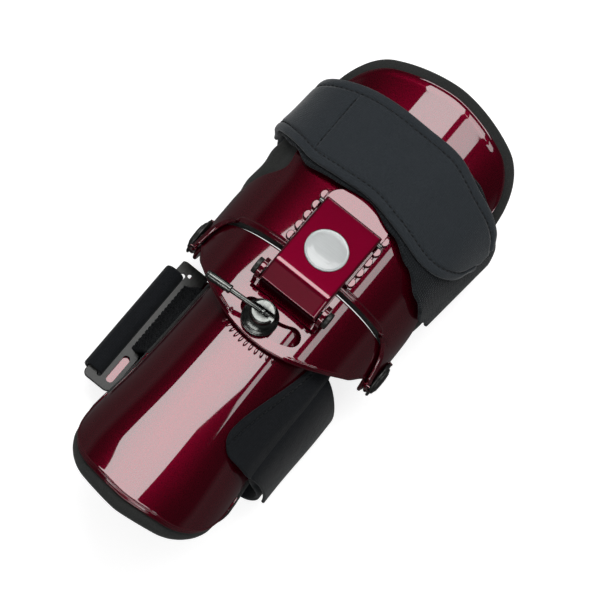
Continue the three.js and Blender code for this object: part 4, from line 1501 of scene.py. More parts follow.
@dataclass(frozen=True)
class Latch:
    """Latch block with its pin and its round badge."""

    saddle: Saddle
    top: float = 16.8
    half: float = 16.5
    metal: float = 1.3
    corner: float = 1.35
    front: float = -12.6
    bend: float = -2.9
    bend_reach: float = 1.8
    rear: float = 39.6
    edge: float = 1.3
    drop: float = 5.4
    fall: float = 4.9
    lug: tuple[float, float] = (-7.6, 5.8)
    wrap: float = 4.0
    pin: tuple[float, float] = (36.6, 75.9)
    badge: float = 10.8
    badge_y: float = 16.4
    pocket: float = 0.8
    badge_thick: float = 1.0
    bolt_hole: float = 2.1
    pin_hole: float = 1.8

    @property
    def crown(self) -> float:
        """Height of the bend between the block's two planes."""
        return self.saddle.crown + self.top

    @property
    def slope(self) -> float:
        """Fall of the top for each millimetre to the rear."""
        return self.fall / (self.rear - self.bend)

    def roof(self, y: Array) -> Array:
        """Height of the top: two planes joined by a quadratic curve.

        Args:
            y: Places along the arm.

        Returns:
            Heights.
        """
        steep = self.drop / (self.bend - self.front)
        r = self.bend_reach
        k = np.clip((y - self.bend + r) / (2 * r), 0, 1)
        curve = (self.crown - r * steep) * (1 - k) ** 2 + 2 * self.crown * k * (1 - k)
        curve = curve + (self.crown - r * self.slope) * k**2
        before = np.minimum(0, y - self.bend + r) * steep
        after = np.maximum(0, y - self.bend - r) * self.slope
        over = np.clip((y - self.rear + self.edge) / self.edge, 0, 1) * 0.95
        return curve + before - after - self.edge * (1 - np.sqrt(1 - over * over))

    def foot(self, y: Array) -> Array:
        """Lower edge of the sides: round the cross bolt, then straight to the rear.

        Args:
            y: Places along the arm.

        Returns:
            Heights.
        """
        lug_y, lug_z = self.lug[0], self.saddle.crown + self.lug[1]
        turn = np.linspace(math.pi, 1.6667 * math.pi, 20)
        round_y = lug_y + self.wrap * np.cos(turn)
        round_z = lug_z + self.wrap * np.sin(turn)
        low = self.saddle.forearm.crown + 2.3
        front_low = float(self.roof(np.array(self.front))) - 2.2
        places = np.concatenate([[self.front], round_y, [lug_y + 10, self.rear]])
        heights = np.concatenate([[front_low], round_z, [low, low]])
        return np.interp(y, places, heights)

    def surface(self, u: Array, v: Array) -> Array:
        """Channel section of two sides, two round corners and a flat top, carried to the rear.

        Args:
            u: Shares across.
            v: Shares along.

        Returns:
            Points.
        """
        turn = np.linspace(0, np.pi / 2, 9)
        r = self.corner
        side = np.linspace(0, 1, 9)[:-1]
        flat = np.linspace(-1, 1, 25)[1:-1]
        wall = np.full(len(side), self.half)
        round_x, round_dip = self.half - r + r * np.cos(turn), r - r * np.sin(turn)
        x = np.concatenate([-wall, -round_x, flat * (self.half - r), round_x[::-1], wall])
        share = np.concatenate([side, np.ones(len(x) - 2 * len(side)), side[::-1]])
        low = np.full(len(side), r)
        dip = np.concatenate([low, round_dip, np.zeros(len(flat)), round_dip[::-1], low])
        index = np.linspace(0, 1, len(x))
        reach = self.bend_reach
        stops = (self.front, self.bend - reach, self.bend + reach, self.rear - self.edge)
        runs = [np.linspace(a, b, n + 1)[:-1] for a, b, n in zip(stops[:-1], stops[1:], (18, 16, 16))]
        lines = np.concatenate([*runs, np.linspace(stops[-1], self.rear, 9)])
        y = np.interp(v, np.linspace(0, 1, len(lines)), lines)
        roof, foot = self.roof(y), self.foot(y)
        dip_at = np.interp(u, index, dip)
        k = np.interp(u, index, share)
        high = roof - dip_at
        return np.stack([np.interp(u, index, x), y, foot + (high - foot) * k], -1)

    def tilted(self, profile: Profile, name: str, sides: int) -> Piece:
        """Turned piece that stands on the sloping top at the badge's place."""
        place = (0, self.badge_y, float(self.roof(np.array(self.badge_y))))
        return turned(name, profile, Matrix.Rotation(-math.atan(self.slope), 4, "X"), place, sides)

    def build(self, paints: Paints) -> None:
        """Makes the block, the pin and the badge.

        Args:
            paints: All finishes.
        """
        block, _ = sheet_piece(
            "latch_block_red", self.surface, (56, 58), 0, -self.metal, rim=4, roundness=0.6
        )
        r = self.badge + 0.3
        carve(block, self.tilted(((0, -self.pocket), (r, -self.pocket), (r, 2), (0, 2)), "pocket_tool", 96))
        across = Matrix.Rotation(math.pi / 2, 4, "Y")
        for name, y, z, hole in (
            ("bolt_tool", self.lug[0], self.saddle.crown + self.lug[1], self.bolt_hole),
            ("pin_tool", self.pin[0], self.pin[1], self.pin_hole),
        ):
            carve(block, turned(name, ((0, -20), (hole, -20), (hole, 20), (0, 20)), across, (0, y, z), 40))
        # The block wears the brighter copy of the candy red, which is painted light.
        dress(block, paints.block, Body.LATCH, ["latch_block"])
        pin = cad_copy("latch_pin", "latch_cross_pin", 0.3)
        dress(pin, paints.gunmetal, Body.LATCH, ["latch_pin"])
        low = 0.3 - self.pocket
        high = low + self.badge_thick
        wide = self.badge
        profile = (
            (0, low), (wide - 0.2, low), (wide, low + 0.2), (wide, high - 0.35), (wide - 0.25, high - 0.05),
            (wide - 0.7, high), (wide - 1.0, high - 0.12), (wide - 1.3, high - 0.12),
            (wide - 1.6, high - 0.02), (6.0, high + 0.12), (3.0, high + 0.2), (0, high + 0.22),
        )
        disc = self.tilted(profile, "badge_disc", 96)
        dress(disc, paints.badge, Body.LATCH, ["badge"])


@dataclass(frozen=True)
class Hand:
    """Hand shell with its foam, tabs, scale marks, studs and palm bracket."""

    saddle: Saddle
    reach: float = 134.0
    rear: float = 5.0
    half: float = 41.5
    power: float = 2.2
    depth: float = 28.0
    corner: float = 30.0
    bow: float = 12.0
    pad_bow: float = 15.0
    bow_power: float = 1.5
    tongue: float = 22.0
    swing_room: float = 1.2
    margin: float = 5.5
    bracket_top: float = 17.5
    bracket_metal: float = 1.6
    bracket_half: float = 56.8
    bracket_rear: float = -9.5
    bracket_front: float = -86.0
    bar: float = 5.4
    strap_slot: float = 2.6
    inner_bar: float = 3.0
    upper_plate: float = 6.5
    upper_length: float = 10.0
    lower_plate: float = 5.6
    lower_length: float = 25.0
    pad: float = 5.0

    @property
    def metal(self) -> float:
        """Metal of the shell."""
        return self.saddle.forearm.metal

    @property
    def crown(self) -> float:
        """Height of the hand shell's crown."""
        return self.saddle.crown - self.metal - self.swing_room

    @property
    def arch(self) -> Arch:
        """Arch of the shell's outside."""
        return Arch(self.crown - self.saddle.forearm.height, self.saddle.forearm.height, self.power)

    @property
    def slot_inner(self) -> float:
        """X of the strap slot's inner side."""
        return self.bar + self.strap_slot - self.bracket_half

    @property
    def bar_inner(self) -> float:
        """X of the bracket's inner edge between its two plates."""
        return self.slot_inner + self.inner_bar

    def half_at(self, y: Array) -> Array:
        """Half width at a place along the hand."""
        return self.half * column(HAND_ROWS, "half", "along", -y / self.reach)

    def surface_with(self, margin: float, bow: float, rear_end: float) -> Surface:
        """Surface along the hand's arch, carried past the shell's edge by a margin.

        Args:
            margin: How far past the edge.
            bow: Bow of the front end.
            rear_end: Y of the hidden rear end.

        Returns:
            The surface, a function of two parameters.
        """
        low = np.array(self.crown - self.depth)
        nominal = float(self.arch.reach(self.half_at(np.array(-self.reach / 2)), low))

        def surface(u: Array, v: Array) -> Array:
            """Arch sections from the bowed front end to the rear tongue.

            Args:
                u: Shares across.
                v: Shares along.

            Returns:
                Points.
            """
            w = 2 * u - 1
            front = -self.reach - margin + end_fall(w, nominal, self.corner, bow, self.bow_power)
            rear = rear_end - end_fall(w, nominal, self.tongue)
            y = front + (rear - front) * v
            half = self.half_at(y)
            x, z = self.arch.point(half, w * (self.arch.reach(half, low) + margin))
            return np.stack([x, y, z], -1)

        return surface

    def flank(self, y: Array, distance: Array, lift: Array) -> tuple[Array, Array]:
        """Point off the shell's outside at a distance round its arch.

        Args:
            y: Place along the hand.
            distance: Distance round the arch.
            lift: Height off the shell.

        Returns:
            X and Z.
        """
        half = self.half_at(y)
        x, z = self.arch.point(half, distance)
        x0, z0 = self.arch.point(half, distance - 0.05)
        x1, z1 = self.arch.point(half, distance + 0.05)
        length = np.hypot(x1 - x0, z1 - z0)
        return x - lift * (z1 - z0) / length, z + lift * (x1 - x0) / length

    def tab(self, name: str, front: float, rear: float, outer: float) -> Piece:
        """Tab from the shell's edge down and out flat under the bracket.

        Args:
            name: Name of the piece.
            front: Front end.
            rear: Rear end.
            outer: X of its outer end.

        Returns:
            The tab, as an outline carried along Y.
        """
        half = self.half_at(np.array((front + rear) / 2))
        low = np.array(self.crown - self.depth)
        edge_x, edge_z = (float(k) for k in self.arch.point(half, -self.arch.reach(half, low)))
        top = self.bracket_top - self.bracket_metal - 0.3
        metal = self.metal
        outline = (
            (edge_x + metal * 0.9, edge_z + metal), (edge_x + metal * 0.1, edge_z + metal),
            (edge_x - metal * 0.1, edge_z - metal), (edge_x - metal * 0.5, top), (outer, top),
            (outer, top - metal), (edge_x + metal * 0.5, top - metal),
            (edge_x + metal * 0.9, edge_z - metal),
        )
        return soften(prism(name, outline, front, rear, "Y"), 0.45)

    def bracket(self) -> Piece:
        """Flat bracket: an outer bar, two end plates, and its slots and hole cut through.

        Returns:
            The bracket.
        """
        out, rear, front = -self.bracket_half, self.bracket_rear, self.bracket_front
        slot_out, slot_in, bar_in = out + self.bar, self.slot_inner, self.bar_inner
        upper_in, lower_in = bar_in + self.upper_plate, bar_in + self.lower_plate
        upper, lower = rear - self.upper_length, front + self.lower_length

        def arc(x: float, y: float, radius: float, first: float, last: float) -> Array:
            """Points of an arc, in degrees."""
            turn = np.radians(np.linspace(first, last, 9))
            return np.column_stack([x + radius * np.cos(turn), y + radius * np.sin(turn)])

        outline = np.concatenate(
            [
                arc(out + 5, rear - 4, 4, 130, 90),
                arc(upper_in - 1, rear - 1, 1, 90, 0),
                arc(upper_in - 3, upper + 3, 3, 0, -90),
                arc(bar_in + 2, upper - 2, 2, 90, 180),
                arc(bar_in + 1.5, lower + 1.5, 1.5, 180, 270),
                arc(lower_in - 3, lower - 3, 3, 90, 0),
                arc(lower_in - 4, front + 4, 4, 0, -90),
                arc(out + 3, front + 3, 3, -90, -180),
            ]
        )
        high = self.bracket_top
        plate = soften(prism("strap_bracket", outline, high - self.bracket_metal, high), 0.4, 3, 40)
        turn = np.linspace(0, np.pi, 17)
        openings = (
            ((slot_out + slot_in) / 2, front + 5, rear - 7, self.strap_slot / 2),
            ((slot_in + bar_in) / 2 + 2.7, front + 6.25, front + 18.75, 1.9),
            (bar_in - 1.4, rear - 5.01, rear - 5, 1.2),
        )
        for x, low, top, half in openings:
            across = np.append(x + half * np.cos(turn), x - half * np.cos(turn))
            along = np.append(top + half * np.sin(turn), low - half * np.sin(turn))
            carve(plate, prism("opening_tool", np.column_stack([across, along]), high - 4, high + 4))
        return plate

    def scale_marks(self, paints: Paints) -> None:
        """Raised oval marks fanned about the swing pivot, just ahead of the saddle.

        Each is a half ellipsoid: its height is the square root of one minus the squared
        distance from its middle, laid along the shell.

        Args:
            paints: All finishes.
        """
        count, pitch, first = 11, 4.68, -27.0
        radius, length, width, high = 37.4, 2.3, 0.85, 0.5
        rings, sides = 5, 20
        share = np.sin(np.linspace(0, np.pi / 2, rings + 1))[1:]
        angle = np.arange(sides) / sides * 2 * np.pi
        points, quads, caps = [], [], []
        for k in range(count):
            turn = math.radians(first + pitch * k)
            local_a = np.outer(share, np.cos(angle)) * length
            local_b = np.outer(share, np.sin(angle)) * width
            up = high * np.sqrt(np.maximum(0, 1 - share**2))[:, None] + 0 * local_a - 0.05
            out = radius + local_a
            x = out * math.sin(turn) + local_b * math.cos(turn)
            y = self.saddle.pivot - out * math.cos(turn) + local_b * math.sin(turn)
            half = self.half_at(y)
            fall = 1 - (1 - np.abs(x / half) ** self.power) ** (1 / self.power)
            z = self.arch.base + self.arch.rise * (1 - fall) + up
            start = sum(len(p) for p in points)
            points.append(np.stack([x, y, z], -1).reshape(-1, 3))
            quads.append(ring_quads(rings, sides) + start)
            caps.append([start + s for s in range(sides)][::-1])
            caps.append([start + (rings - 1) * sides + s for s in range(sides)])
        points, quads = np.concatenate(points), np.concatenate(quads)
        marks = make_piece("swing_scale_marks", points, quads, caps, sharp=70)
        dress(marks, paints.red, Body.HAND)

    def build(self, paints: Paints) -> None:
        """Makes the shell with its tabs, the foam, the studs and the bracket.

        Args:
            paints: All finishes.
        """
        surface = self.surface_with(0, self.bow, self.rear)
        shell, _ = sheet_piece(
            "hand_shell_sheet", surface, (200, 140), 0, -self.metal, roundness=0.7,
            relief=lambda u, v, points: lip(points, 0, 0.5), crowd=0.85,
        )
        tabs = [
            self.tab("front_tab", self.bracket_front + 2, self.bracket_front + 22, self.slot_inner + 1.2),
            self.tab("rear_tab", self.bracket_rear - 9, self.bracket_rear - 1, self.bar_inner - 1),
        ]
        shell = joined("hand_red_shell", [shell, *tabs])
        dress(shell, paints.red, Body.HAND, ["hand_shell"])
        gap = self.saddle.forearm.gap
        offset = self.metal + 2 * gap
        roll = self.pad * 0.35
        pad, _ = sheet_piece(
            "hand_foam", self.surface_with(self.margin - roll, self.pad_bow, self.rear - gap - roll),
            (140, 100), -offset, -offset - self.pad, rim=8, roundness=0.7, relief=self.pad_relief,
            sharp=80,
        )
        dress(pad, paints.foam, Body.HAND, ["hand_pad"])
        self.scale_marks(paints)
        for node, name in (("pivot_stud", "swing_pivot"), ("clamp_stud", "clamp_screw")):
            stud = cad_copy(node, name, 0.2)
            dress(stud, paints.gunmetal, Body.HAND, [node])
        dress(self.bracket(), paints.steel, Body.HAND, ["palm_bracket"])

    def pad_relief(self, u: Array, v: Array, points: Array) -> Array:
        """Foam rises past the shell's front end, and flares out from under its sides.

        Args:
            u: Shares across.
            v: Shares along.
            points: Points there; not used.

        Returns:
            Heights.
        """
        front = eased(0.08, 0.02, v)
        side = eased(0.9, 1.0, np.abs(2 * u - 1))
        return np.maximum(0.9 * front, 3.4 * side)


@dataclass(frozen=True)
class Knob:
    """Clamp knob of stacked discs with a slotted top and a lever."""

    saddle: Saddle
    stud_angle: float = -10.5
    radius: float = 9.1
    base: float = 4.0
    neck: float = 3.5
    top_radius: float = 6.2
    top: float = 4.4
    slot: float = 3.4
    lever_angle: float = 184.0
    reach: float = 32.0
    grip: float = 14.0

    def build(self, paints: Paints) -> None:
        """Makes the knob, the lever's rod and its sleeve.

        Args:
            paints: All finishes.
        """
        angle = math.radians(self.stud_angle)
        x = self.saddle.slot_radius * math.sin(angle)
        y = self.saddle.pivot - self.saddle.slot_radius * math.cos(angle)
        foot = self.saddle.crown + 0.3
        neck = foot + self.base
        top = neck + self.neck + self.top
        turn = Matrix.Rotation(math.radians(self.lever_angle), 4, "Z")
        r, t = self.radius, self.top_radius
        profile = (
            (2.7, neck + 0.5), (2.7, foot), (r - 0.5, foot), (r, foot + 0.4), (r, foot + 1.2),
            (r - 0.3, foot + 1.5), (r - 0.7, foot + 1.6), (r - 0.7, foot + 1.9), (r - 0.2, foot + 2.0),
            (r - 0.1, foot + 2.9), (r - 0.5, foot + 3.2), (r - 1.3, foot + 3.4), (r - 1.5, foot + 3.6),
            (r - 1.6, neck), (t + 0.5, neck + 0.5), (t - 0.2, neck + 1.2), (t - 0.9, neck + 2.0),
            (t - 0.9, neck + self.neck), (t - 0.2, neck + self.neck + 0.4), (t, neck + self.neck + 0.8),
            (t, top - 0.7), (t - 0.25, top - 0.25), (t - 0.8, top), (t - 1.2, top), (0, top - 0.05),
        )
        body = turned("clamp_knob", profile, turn, (x, y, 0), 72)
        wide, half = t + 1, self.slot / 2
        box = np.array([(-wide, -half), (wide, -half), (wide, half), (-wide, half)])
        box = box @ np.array(turn.to_2x2()).T + (x, y)
        carve(body, prism("slot_cutter", box, top - self.slot, top + 1))
        dress(soften(body, 0.2, 2), paints.gunmetal, Body.KNOB, ["knob"])
        height = top - self.slot + 1.6
        lay = turn @ Matrix.Rotation(math.pi / 2, 4, "Y")
        end = self.reach - self.grip
        rod = ((0, -3.4), (1.1, -3.5), (1.3, -3.2), (1.3, end + 2.8), (1.1, end + 3.0), (0, end + 3.0))
        screw = ((0, -0.2), (1.6, 0.0), (1.75, 0.5), (1.5, 1.1), (0.9, 1.5), (0, 1.6))
        rod_piece = turned("rod", rod, lay, (x, y, height), 32)
        ball = turned("screw", screw, turn, (x, y, height), 32)
        arm = joined("lever_arm", [rod_piece, ball])
        dress(arm, paints.gunmetal, Body.KNOB, ["lever_rod"])
        sleeve = (
            (1.45, end + 3.1), (1.45, end), (1.9, end), (2.2, end + 0.4), (2.25, end + 1.2),
            (2.05, end + 1.7), (2.05, end + 2.1), (2.2, end + 2.6), (2.2, self.reach - 2.4),
            (2.05, self.reach - 2.0), (2.05, self.reach - 1.6), (2.2, self.reach - 1.2),
            (1.9, self.reach - 0.3), (1.3, self.reach), (0, self.reach),
        )
        grip = turned("lever_sleeve", sleeve, lay, (x, y, height), 40)
        dress(grip, paints.gunmetal, Body.KNOB, ["lever_grip"])


@dataclass(frozen=True)
class ForearmBand:
    """Band round the forearm and the stitched flap that lies over it."""

    forearm: Forearm
    half: float = 57.0
    top: float = 72.3
    skew: float = 0.09
    middle: float = 63.0
    cloth: float = 2.2
    flap: float = 2.4
    hem: float = 3.9
    cross: float = 0.335
    flap_length: float = 150.0
    band_fill: float = 0.82
    flap_fill: float = 0.85

    @property
    def ring(self) -> Array:
        """Points of the band's ring in X and Z."""
        return np.array([(row.across * self.half, 0.0, row.up * self.top) for row in BAND_ROWS])

    def skewed(self, points: Array) -> Array:
        """Leans the band's sides along the arm.

        Args:
            points: Points there.

        Returns:
            The same points, moved.
        """
        level = points[..., 2] / self.top
        share = eased(0.85, 0.6, level) * eased(0.03, 0.2, level)
        points[..., 0] += self.skew * (points[..., 1] - self.middle) * share
        return points

    def edge(self, key: str, at: Array) -> Array:
        """Edge of the band at a share of the way round its ring.

        Args:
            key: Column of the table.
            at: Shares of the way round.

        Returns:
            Y of the edge.
        """
        values = np.array([getattr(row, key) for row in BAND_ROWS])
        place = np.mod(at, 1.0) * len(values)
        i = np.minimum(place.astype(int), len(values) - 1)
        k = eased(0, 1, place - i)
        return (values[i] * (1 - k) + values[(i + 1) % len(values)] * k) * self.forearm.reach

    def surface(self, u: Array, v: Array) -> Array:
        """Band between its edges, carried round the ring.

        Args:
            u: Shares across.
            v: Shares along.

        Returns:
            Points.
        """
        points = centripetal(self.ring, True, u)
        points[..., 1] = self.edge("lower", u) + (self.edge("upper", u) - self.edge("lower", u)) * v
        points[..., 2] = np.maximum(points[..., 2], self.cloth)
        return self.skewed(points)

    def flap_at(self, u: Array) -> tuple[Array, Array, Array]:
        """Place round the ring and the flap's two edges for a share of its length.

        Args:
            u: Shares across.

        Returns:
            Place, lower edge and upper edge.
        """
        at = FLAP_ROWS[0].at + (FLAP_ROWS[-1].at - FLAP_ROWS[0].at) * u
        lower, upper = (column(FLAP_ROWS, key, "at", at) * self.forearm.reach for key in ("lower", "upper"))
        return at, lower, upper

    def flap_surface(self, u: Array, v: Array) -> Array:
        """Flap over the band, its end rounded off.

        Args:
            u: Shares across.
            v: Shares along.

        Returns:
            Points.
        """
        at, lower, upper = self.flap_at(u)
        points = centripetal(self.ring, True, at)
        points[..., 1] = lower + (upper - lower) * v
        return self.skewed(points)

    def flap_relief(self, u: Array, v: Array, points: Array) -> Array:
        """Sewn line pulled in along the hem, and a slow swell between the hems.

        Args:
            u: Shares across.
            v: Shares along; not used.
            points: Points there.

        Returns:
            Heights.
        """
        _, lower, upper = self.flap_at(u)
        inset = np.minimum(points[..., 1] - lower, upper - points[..., 1])
        pulled = -0.75 * np.exp(-(((inset - self.hem) / 0.9) ** 2))
        ends = eased(0, 1.2, inset) * 0.25
        swell = 0.25 * np.sin(points[..., 0] * 0.16 + 0.8) * np.sin(points[..., 1] * 0.11)
        across = -0.6 * np.exp(-(((u - self.cross) * self.flap_length / 0.9) ** 2)) * eased(3, 6, inset)
        return pulled + ends + across + swell * eased(3, 12, inset)

    def on_flap(self, u: Array, v: Array, lift: float) -> tuple[Array, Array]:
        """Points and normals on the flap's outside.

        Args:
            u: Shares of its length.
            v: Shares of its width.
            lift: Offset from the ring's surface.

        Returns:
            Points and unit normals.
        """
        step = 1e-3
        du = self.flap_surface(u + step, v) - self.flap_surface(u - step, v)
        dv = self.flap_surface(u, v + step) - self.flap_surface(u, v - step)
        normal = np.cross(du, dv)
        normal /= np.linalg.norm(normal, axis=-1, keepdims=True)
        return self.flap_surface(u, v) + normal * lift, normal

    def hem_path(self) -> tuple[Array, Array]:
        """Stitch path: along the lower edge, round the end and back along the upper edge.

        Returns:
            Shares of the flap's length and of its width.
        """
        u = np.linspace(0.01, 0.965, 220)
        _, lower, upper = self.flap_at(u)
        share = np.minimum(self.hem / (upper - lower), 0.42)
        end = np.linspace(0, 1, 24)[1:-1]
        round_u = 0.965 + 0.008 * np.sin(end * np.pi)
        round_v = share[-1] + (1 - 2 * share[-1]) * end
        path_u = np.concatenate([u, round_u, u[::-1]])
        path_v = np.concatenate([share, round_v, 1 - share[::-1]])
        return path_u, path_v

    def build(self, paints: Paints) -> None:
        """Makes the band, its flap and their stitches.

        Args:
            paints: All finishes.
        """
        band, area = sheet_piece(
            "forearm_band", self.surface, (360, 44), self.cloth, 0, closed=True, sharp=70
        )
        dress(band, paints.pile, Body.FOREARM, ["forearm_strap"])
        low = self.cloth + 0.3
        flap, area = sheet_piece(
            "forearm_flap", self.flap_surface, (260, 80), low + self.flap, low, relief=self.flap_relief,
            sharp=70,
        )
        dress(flap, paints.strap, Body.FOREARM, ["strap_flap"])
        lift = low + self.flap - 0.42
        rows = [stitch_line("hem_stitches", *self.on_flap(*self.hem_path(), lift))]
        cross = np.linspace(0.12, 0.88, 60)
        line = self.on_flap(np.full_like(cross, self.cross), cross, lift + 0.25)
        rows.append(stitch_line("cross_stitches", *line))
        threads = joined("flap_stitches", rows)
        dress(threads, paints.thread, Body.FOREARM)


@dataclass(frozen=True)
class PalmBand:
    """Strap under the palm, the flap on the hand's right flank and the mesh beside the bracket."""

    hand: Hand
    half: float = 47.0
    cloth: float = 1.8
    start: float = 23.0
    leaves: float = 41.0
    lift: float = 3.4
    foot: float = 12.0
    hem: float = 4.6
    width: float = 65.0
    flap_length: float = 62.0
    strap_fill: float = 0.9
    flap_fill: float = 0.95
    mesh_width: float = 35.5

    def route(self) -> Array:
        """Middle line of the strap: under the flap, along the table and round the outer bar.

        Returns:
            Its points.
        """
        height = self.hand.saddle.forearm.height
        shares = (
            (0.81, 1.45), (0.86, 1.16), (0.955, 0.85), (0.965, 0.5), (0.85, 0.16),
            (0.55, 0.03), (0.0, 0.029), (-0.55, 0.03), (-0.95, 0.16),
        )
        points = [(a * self.half, 0.0, b * height) for a, b in shares]
        bar = -self.hand.bracket_half
        clear = self.cloth / 2 + 0.3
        middle = self.hand.bracket_top - self.hand.bracket_metal / 2
        high = self.hand.bracket_top + clear + 0.3
        points += [
            (bar - clear, 0, middle - 4), (bar - clear, 0, middle + 0.5), (bar + 0.6, 0, high + 0.2),
            (bar + 4.6, 0, high + 0.2), (bar + 6.7, 0, middle + 0.6), (bar + 6.7, 0, middle - 4),
        ]
        return np.array(points, float)

    def strap_surface(self, u: Array, v: Array) -> Array:
        """Strap carried along its route.

        Args:
            u: Shares across.
            v: Shares along.

        Returns:
            Points.
        """
        points = centripetal(self.route(), False, u)
        front = self.hand.bracket_front + 6 - eased(0.2, 0.0, u) * 2
        rear = self.hand.bracket_rear - 8 - eased(0.35, 0.1, u) * 7
        points[..., 1] = front + (rear - front) * v
        points[..., 2] = np.maximum(points[..., 2], self.cloth / 2)
        return points

    def flap_surface(self, u: Array, v: Array) -> Array:
        """Flap: along the flank, then bending down beside the hand in a quarter turn.

        Args:
            u: Shares across.
            v: Shares along.

        Returns:
            Points.
        """
        start = self.start - 4 * eased(0.2, 1, 1 - v) + 9 * v**1.5
        corner = np.where(u < 0.25, end_fall(1 - u, 1, 0.25) * 40, 0)
        front = self.hand.bracket_front + 1 + corner + 7 * eased(0.45, 1, u)
        rear = -20 - 5 * eased(0.4, 0.9, u)
        y = front + (rear - front) * v
        lift = 0.4 + (self.lift - 0.4) * eased(0.15, 0.45, u)
        near = self.hand.flank(y, start + (self.leaves - start) * np.minimum(u, 0.6) / 0.6, lift)
        leave = self.hand.flank(y, np.full_like(y, self.leaves), np.full_like(y, self.lift))
        k = np.clip((u - 0.6) / 0.4, 0, 1) * np.pi / 2
        x = leave[0] + (self.half + 0.9 - leave[0]) * np.sin(k)
        z = leave[1] + (self.foot - leave[1]) * (1 - np.cos(k)) ** 0.8
        far = u >= 0.6
        return np.stack([np.where(far, x, near[0]), y, np.where(far, z, near[1])], -1)

    def flap_relief(self, u: Array, v: Array, points: Array) -> Array:
        """Sewn hem pulled in along the upper edge and the two ends.

        Args:
            u: Shares across.
            v: Shares along; not used.
            points: Points there.

        Returns:
            Heights.
        """
        inset = u * self.flap_length
        pulled = -0.5 * np.exp(-(((inset - self.hem) / 0.9) ** 2))
        return pulled + 0.2 * np.sin(points[..., 1] * 0.12) * eased(0.1, 0.4, u)

    def mesh_surface(self, u: Array, v: Array) -> Array:
        """Mesh from the bracket's inner bar up to the shell's edge.

        Args:
            u: Shares across.
            v: Shares along.

        Returns:
            Points.
        """
        hand = self.hand
        half = hand.half_at(np.array(-40.0))
        low = np.array(hand.crown - hand.depth)
        edge = float(hand.arch.point(half, -hand.arch.reach(half, low))[0])
        x = hand.bar_inner + 0.3 + (edge - hand.bar_inner - 1.2) * u
        start = hand.bracket_top - hand.bracket_metal / 2
        z = start + (hand.saddle.forearm.height - 1 - start) * eased(0, 1, u)
        rear = hand.bracket_rear - hand.upper_length - 1
        front = hand.bracket_front + hand.lower_length + 0.4
        return np.stack([x, front + (rear - front) * v, z], -1)

    def mesh_relief(self, u: Array, v: Array, points: Array) -> Array:
        """Staggered rows of round hollows, a product of two cosines for each cell.

        Args:
            u: Shares across; not used.
            v: Shares along; not used.
            points: Points there.

        Returns:
            Heights.
        """
        across = points[..., 0] / 1.9
        along = points[..., 1] / 2.5
        row = np.floor(across)
        cell = np.cos(2 * np.pi * (along + 0.5 * row)) * np.cos(2 * np.pi * (across + 0.5))
        return 0.55 * np.clip(0.6 - cell * 1.2, -1, 0.6)

    def build(self, paints: Paints) -> None:
        """Makes the palm strap, the palm flap and the mesh.

        Args:
            paints: All finishes.
        """
        strap, area = sheet_piece(
            "palm_band", self.strap_surface, (280, 40), self.cloth / 2, -self.cloth / 2, sharp=70
        )
        dress(strap, paints.palm, Body.HAND, ["palm_strap"])
        flap, area = sheet_piece(
            "palm_flap_cloth", self.flap_surface, (120, 90), self.cloth, 0, relief=self.flap_relief,
            sharp=70,
        )
        dress(flap, paints.palm, Body.HAND, ["palm_flap"])
        share = np.full(70, self.hem / self.flap_length)
        along = np.linspace(0.06, 0.97, 70)
        step = 1e-3
        du = self.flap_surface(share + step, along) - self.flap_surface(share - step, along)
        dv = self.flap_surface(share, along + step) - self.flap_surface(share, along - step)
        normal = np.cross(du, dv)
        normal /= np.linalg.norm(normal, axis=-1, keepdims=True)
        path = self.flap_surface(share, along) + normal * (self.cloth - 0.2)
        threads = stitch_line("palm_flap_stitches", path, normal)
        dress(threads, paints.thread, Body.HAND)
        mesh, area = sheet_piece(
            "side_mesh", self.mesh_surface, (60, 260), 1.2, -1.2, relief=self.mesh_relief, sharp=70
        )
        dress(mesh, paints.mesh, Body.HAND, ["mesh_pad"])


class SoftBox(NamedTuple):
    """Level soft box between two corners, with its height, its brightness and if lacquer reflects it."""

    name: str
    low: tuple[float, float]
    high: tuple[float, float]
    height: float
    radiance: float
    mirrored: bool = True


SOFT_BOXES = (
    SoftBox("far_box_left", (-0.23, 0.33), (0.016, 0.434), 0.8, 4.4),
    SoftBox("far_box_right", (0.056, 0.33), (0.26, 0.434), 0.8, 3.4),
    SoftBox("right_strip", (0.34, 0.2), (0.44, 0.42), 0.8, 2.6),
    SoftBox("front_strip", (-0.7, -1.25), (0.5, -0.95), 0.8, 5.0),
    SoftBox("front_card", (-0.6, -0.75), (-0.03, -0.45), 0.8, 0.12),
    SoftBox("front_right_card", (0.05, -0.8), (0.45, -0.4), 0.8, 2.2),
    SoftBox("rear_strip", (-0.5, 0.85), (0.5, 1.1), 0.8, 4.0),
    SoftBox("fill", (-1.2, -1.2), (1.2, 1.2), 2.2, 1.0, False),
)


